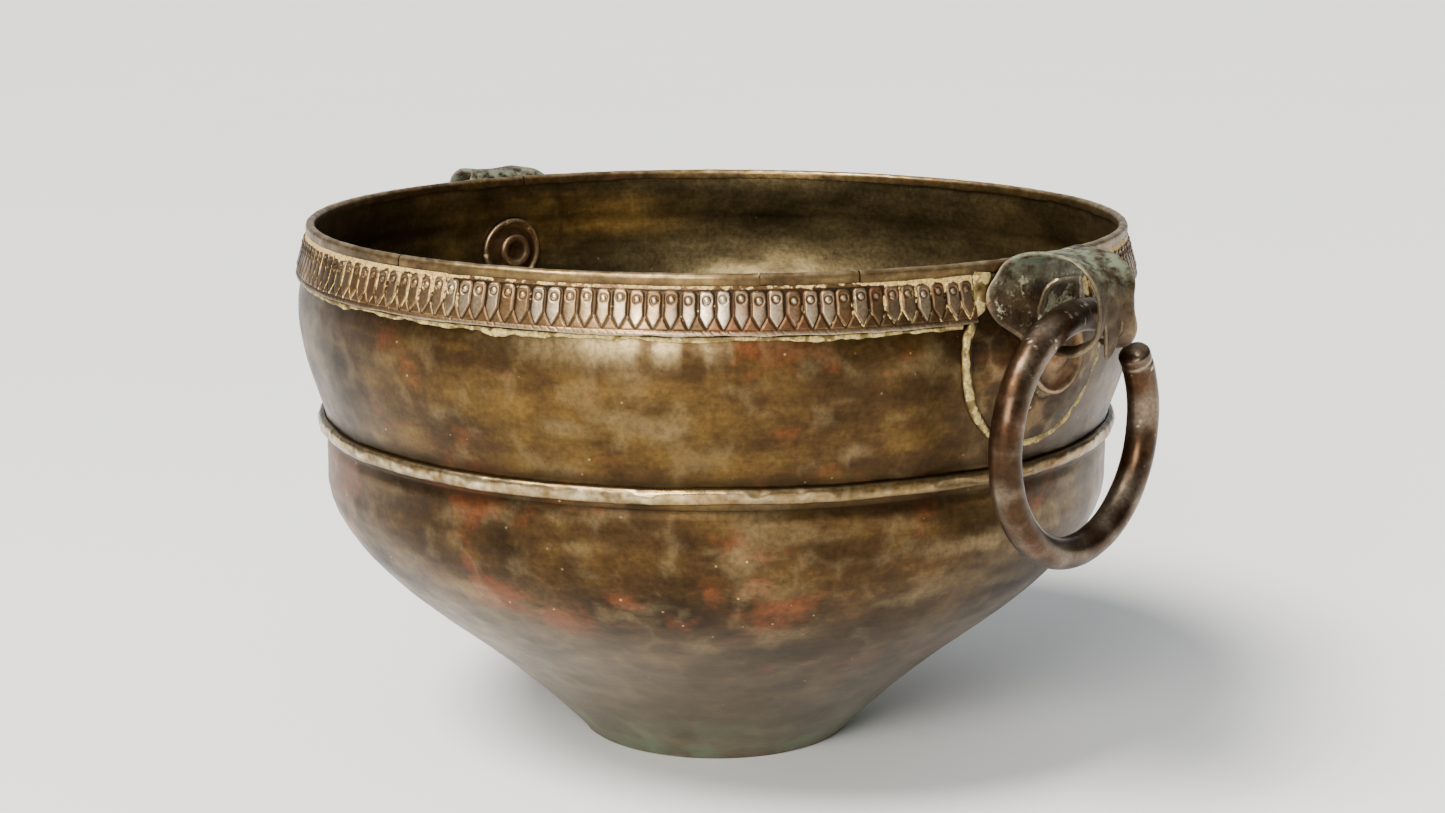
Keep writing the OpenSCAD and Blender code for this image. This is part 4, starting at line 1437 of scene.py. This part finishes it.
@dataclass
class Studio:
    """Pale floor, soft lights and the camera."""

    facing: float = math.radians(-44.0)
    distance: float = 1.2055
    height: float = 0.4113
    pitch: float = math.radians(11.72)
    lens: float = 61.3
    floor_half: float = 30.0
    # The key's strength and its width in degrees, and the window softbox's watts
    key_strength: float = 6.6
    key_width: float = 24.0
    window_watts: float = 55.0

    def at(self, turned: float, away: float, height: float) -> Vector:
        """A place round the bowl, counted in degrees to the right of the camera's side."""
        a = self.facing + math.radians(turned)
        return Vector((away * math.cos(a), away * math.sin(a), height))

    def camera(self) -> None:
        """Stand the camera and make it the scene's."""
        cam = bpy.data.cameras.new("camera")
        cam.lens, cam.sensor_width, cam.shift_x = self.lens, 36.0, 0.0042
        cam.clip_end = 100.0
        obj = bpy.data.objects.new("camera", cam)
        bpy.context.scene.collection.objects.link(obj)
        obj.location = self.at(0, self.distance, self.height)
        c, s = math.cos(self.pitch), math.sin(self.pitch)
        look = Vector((-math.cos(self.facing) * c, -math.sin(self.facing) * c, -s))
        obj.rotation_euler = look.to_track_quat("-Z", "Y").to_euler()
        bpy.context.scene.camera = obj

    def floor(self) -> None:
        """Lay the floor, which isn't part of the object."""
        h = self.floor_half
        mesh = bpy.data.meshes.new("floor")
        mesh.from_pydata([(-h, -h, 0), (h, -h, 0), (h, h, 0), (-h, h, 0)], [], [(0, 1, 2, 3)])
        mesh.materials.append(PaleFloor().material())
        obj = bpy.data.objects.new("floor", mesh)
        bpy.context.scene.collection.objects.link(obj)

    def softbox(self, name: str, spot: Vector, wide: float, tall: float, watts: float,
                tint: str) -> None:
        """Stand a softbox that faces the bowl.

        Args:
            name: The light's name.
            spot: Where it stands.
            wide: Its width in metres.
            tall: Its height in metres.
            watts: Its power.
            tint: Its colour.
        """
        light = bpy.data.lights.new(name, "AREA")
        light.shape, light.size, light.size_y = "RECTANGLE", wide, tall
        light.energy, light.color = watts, linear(tint)[:3]
        obj = bpy.data.objects.new(name, light)
        bpy.context.scene.collection.objects.link(obj)
        obj.location = spot
        obj.rotation_euler = (Vector((0, 0, 0.15)) - spot).to_track_quat("-Z", "Y").to_euler()

    def lights(self) -> None:
        """Light the room: pale sky, a wide soft key from the left, and the window before the bowl."""
        world = bpy.data.worlds.new("room")
        bpy.context.scene.world = world
        world.use_nodes = True
        tree = world.node_tree
        place = add_node(tree, "TexCoord", {}).outputs["Generated"]
        parts = add_node(tree, "SeparateXYZ", {}, {0: place})
        turned = add_node(tree, "VectorMath", {"operation": "DOT_PRODUCT",
                          1: (-math.cos(self.facing), -math.sin(self.facing), 0.0)}, {0: place})
        behind = add_node(tree, "MapRange", {1: 0.5, 2: 0.95}, {0: turned.outputs["Value"]})
        level = add_node(tree, "Mix", {"data_type": "RGBA", 6: linear("#3e382b"), 7: linear("#dde1e3")},
                         {0: behind.outputs[0]})
        overhead = add_node(tree, "MapRange", {1: 0.3, 2: 0.85}, {0: parts.outputs[2]})
        sky = add_node(tree, "Mix", {"data_type": "RGBA", 7: linear("#d6d9db")},
                       {0: overhead.outputs[0], 6: level.outputs[2]})
        tree.links.new(sky.outputs[2], tree.nodes["Background"].inputs[0])
        tree.nodes["Background"].inputs[1].default_value = 1.0
        sun = bpy.data.lights.new("key", "SUN")
        sun.energy, sun.angle = self.key_strength, math.radians(self.key_width)
        sun.color = linear("#fff8ee")[:3]
        obj = bpy.data.objects.new("key", sun)
        bpy.context.scene.collection.objects.link(obj)
        aim = -self.at(-52, 1.0, 1.5)
        obj.rotation_euler = aim.to_track_quat("-Z", "Y").to_euler()
        self.softbox("window", self.at(-17, 2.1, 1.12), 0.9, 0.62, self.window_watts, "#fffaf2")

    def build(self) -> None:
        """Set up the whole room."""
        self.camera()
        self.floor()
        self.lights()


# ---- finishes of this bowl ----------------------------------------------------------

OUTSIDE = AgedBrass("hammered_sheet_brass_outside", dark="#2b1f0f", body="#402e18", gold="#5f4822",
                    copper="#6d3d22", bright="#b39c70", foot="#7d7566", floor_reflection_share=0.72, green_low=0.9,
                    cloud_mm=80.0, island_mm=58.0, wipe_stretch=5.0, copper_share=0.7, rough_low=0.26,
                    rough_high=0.44)
INNER = AgedBrass("hammered_sheet_brass_inside", dark="#3a311d", body="#62553a", gold="#94825a",
                  copper="#6b5535", bright="#b9a273", wipe_stretch=7.0, copper_share=0.2, rough_low=0.26,
                  rough_high=0.4)
BEAD = AgedBrass("hammered_half_round_brass", dark="#4a391c", body="#715b39", gold="#a18657",
                 copper="#835630", bright="#e2cfa6", island_mm=26.0, cloud_mm=60.0, rough_low=0.2,
                 rough_high=0.38)
RIM = AgedBrass("folded_brass_strip", dark="#493a26", body="#6f5a3a", gold="#947a4c", copper="#865a3a",
                bright="#ccb68c", cloud_mm=34.0, wipe_mm=26.0, wipe_stretch=3.0, rough_low=0.26,
                rough_high=0.46)
BAND = AgedBrass("punched_brass_band", dark="#3a2b19", body="#624a30", gold="#8d714d", copper="#71482e",
                 bright="#e2d0b0", dirt_and_shade_tone="#2b2117", crust="#d2b573", crust_dark="#94763d", cloud_mm=46.0,
                 wipe_mm=20.0, wipe_stretch=1.0, grain_mm=1.3, rough_low=0.26, rough_high=0.46,
                 grain_depth=0.25)
SOLDER = AgedBrass("hard_solder_as_it_ran", dark="#6c592e", body="#96804b", gold="#b7a066", copper="#a48650",
                   bright="#dccb9a", dirt_and_shade_tone="#35290f", crust="#cdb878", crust_dark="#917c46", cloud_mm=22.0,
                   wipe_stretch=1.0, grain_mm=1.4, copper_share=0.2, metallic=0.75, rough_low=0.38,
                   rough_high=0.6, grain_depth=0.6)
PLATE = AgedBrass("hammered_plate_brass", dark="#2a1f11", body="#41301c", gold="#5e4726", copper="#5b3820",
                  bright="#b39a6d", cloud_mm=30.0, island_mm=24.0)
STRAP = AgedBrass("forged_strap_brass", dark="#33271c", body="#4c3b2b", gold="#66533d", copper="#583a2a",
                  bright="#cbb894", crust="#9c9a80", crust_dark="#6f6c52", green="#74806a", green_top=0.75,
                  cloud_mm=24.0, wipe_mm=14.0, wipe_stretch=1.0, grain_mm=1.6, metallic=0.85, rough_low=0.34,
                  rough_high=0.56, grain_depth=0.5)
RIVET = AgedBrass("peened_brass", dark="#453320", body="#664c34", gold="#876b4a", copper="#7b4d33",
                  bright="#a89072", cloud_mm=16.0, wipe_mm=9.0, wipe_stretch=1.0, island_mm=12.0)
BAR = AgedBrass("forged_bar_brass", dark="#281b11", body="#3b291b", gold="#4f3926", copper="#4e2f1e",
                bright="#dccdb4", cloud_mm=26.0, wipe_mm=18.0, wipe_stretch=1.0, grain_mm=2.0,
                rough_low=0.24, rough_high=0.36, grain_depth=0.25)


def main() -> None:
    """Build every piece in order, then the room."""
    logging.basicConfig(level=logging.INFO, format="%(name)s %(message)s")
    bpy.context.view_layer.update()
    outside, inner, solder = OUTSIDE.material(), INNER.material(), SOLDER.material()
    shells = Shells()
    shells.build("lower_shell", outside, inner)
    shells.build("upper_shell", outside, inner)
    WaistBead().build(BEAD.material())
    rim = RIM.material()
    for number in range(1, 6):
        RimStrip(number).build(rim)
    band = BAND.material()
    for seed, where in enumerate(("front", "back")):
        Frieze(where, clean_at=-52.0 + 140.0 * seed, seed=300 + 40 * seed).build(band)
        FriezeSolder(where).build(solder)
    plate, strap, rivet, bar = (f.material() for f in (PLATE, STRAP, RIVET, BAR))
    for side in Side:
        lug = Lug(side)
        lug.leaf_plate(plate)
        lug.leaf_solder(solder)
        lug.hooded_strap(strap)
        lug.curled_tongue(strap)
        lug.rivet(rivet)
        lug.rove(rivet)
        RingHandle(side).build(bar)
    Studio().build()


if __name__ == "__main__":
    main()
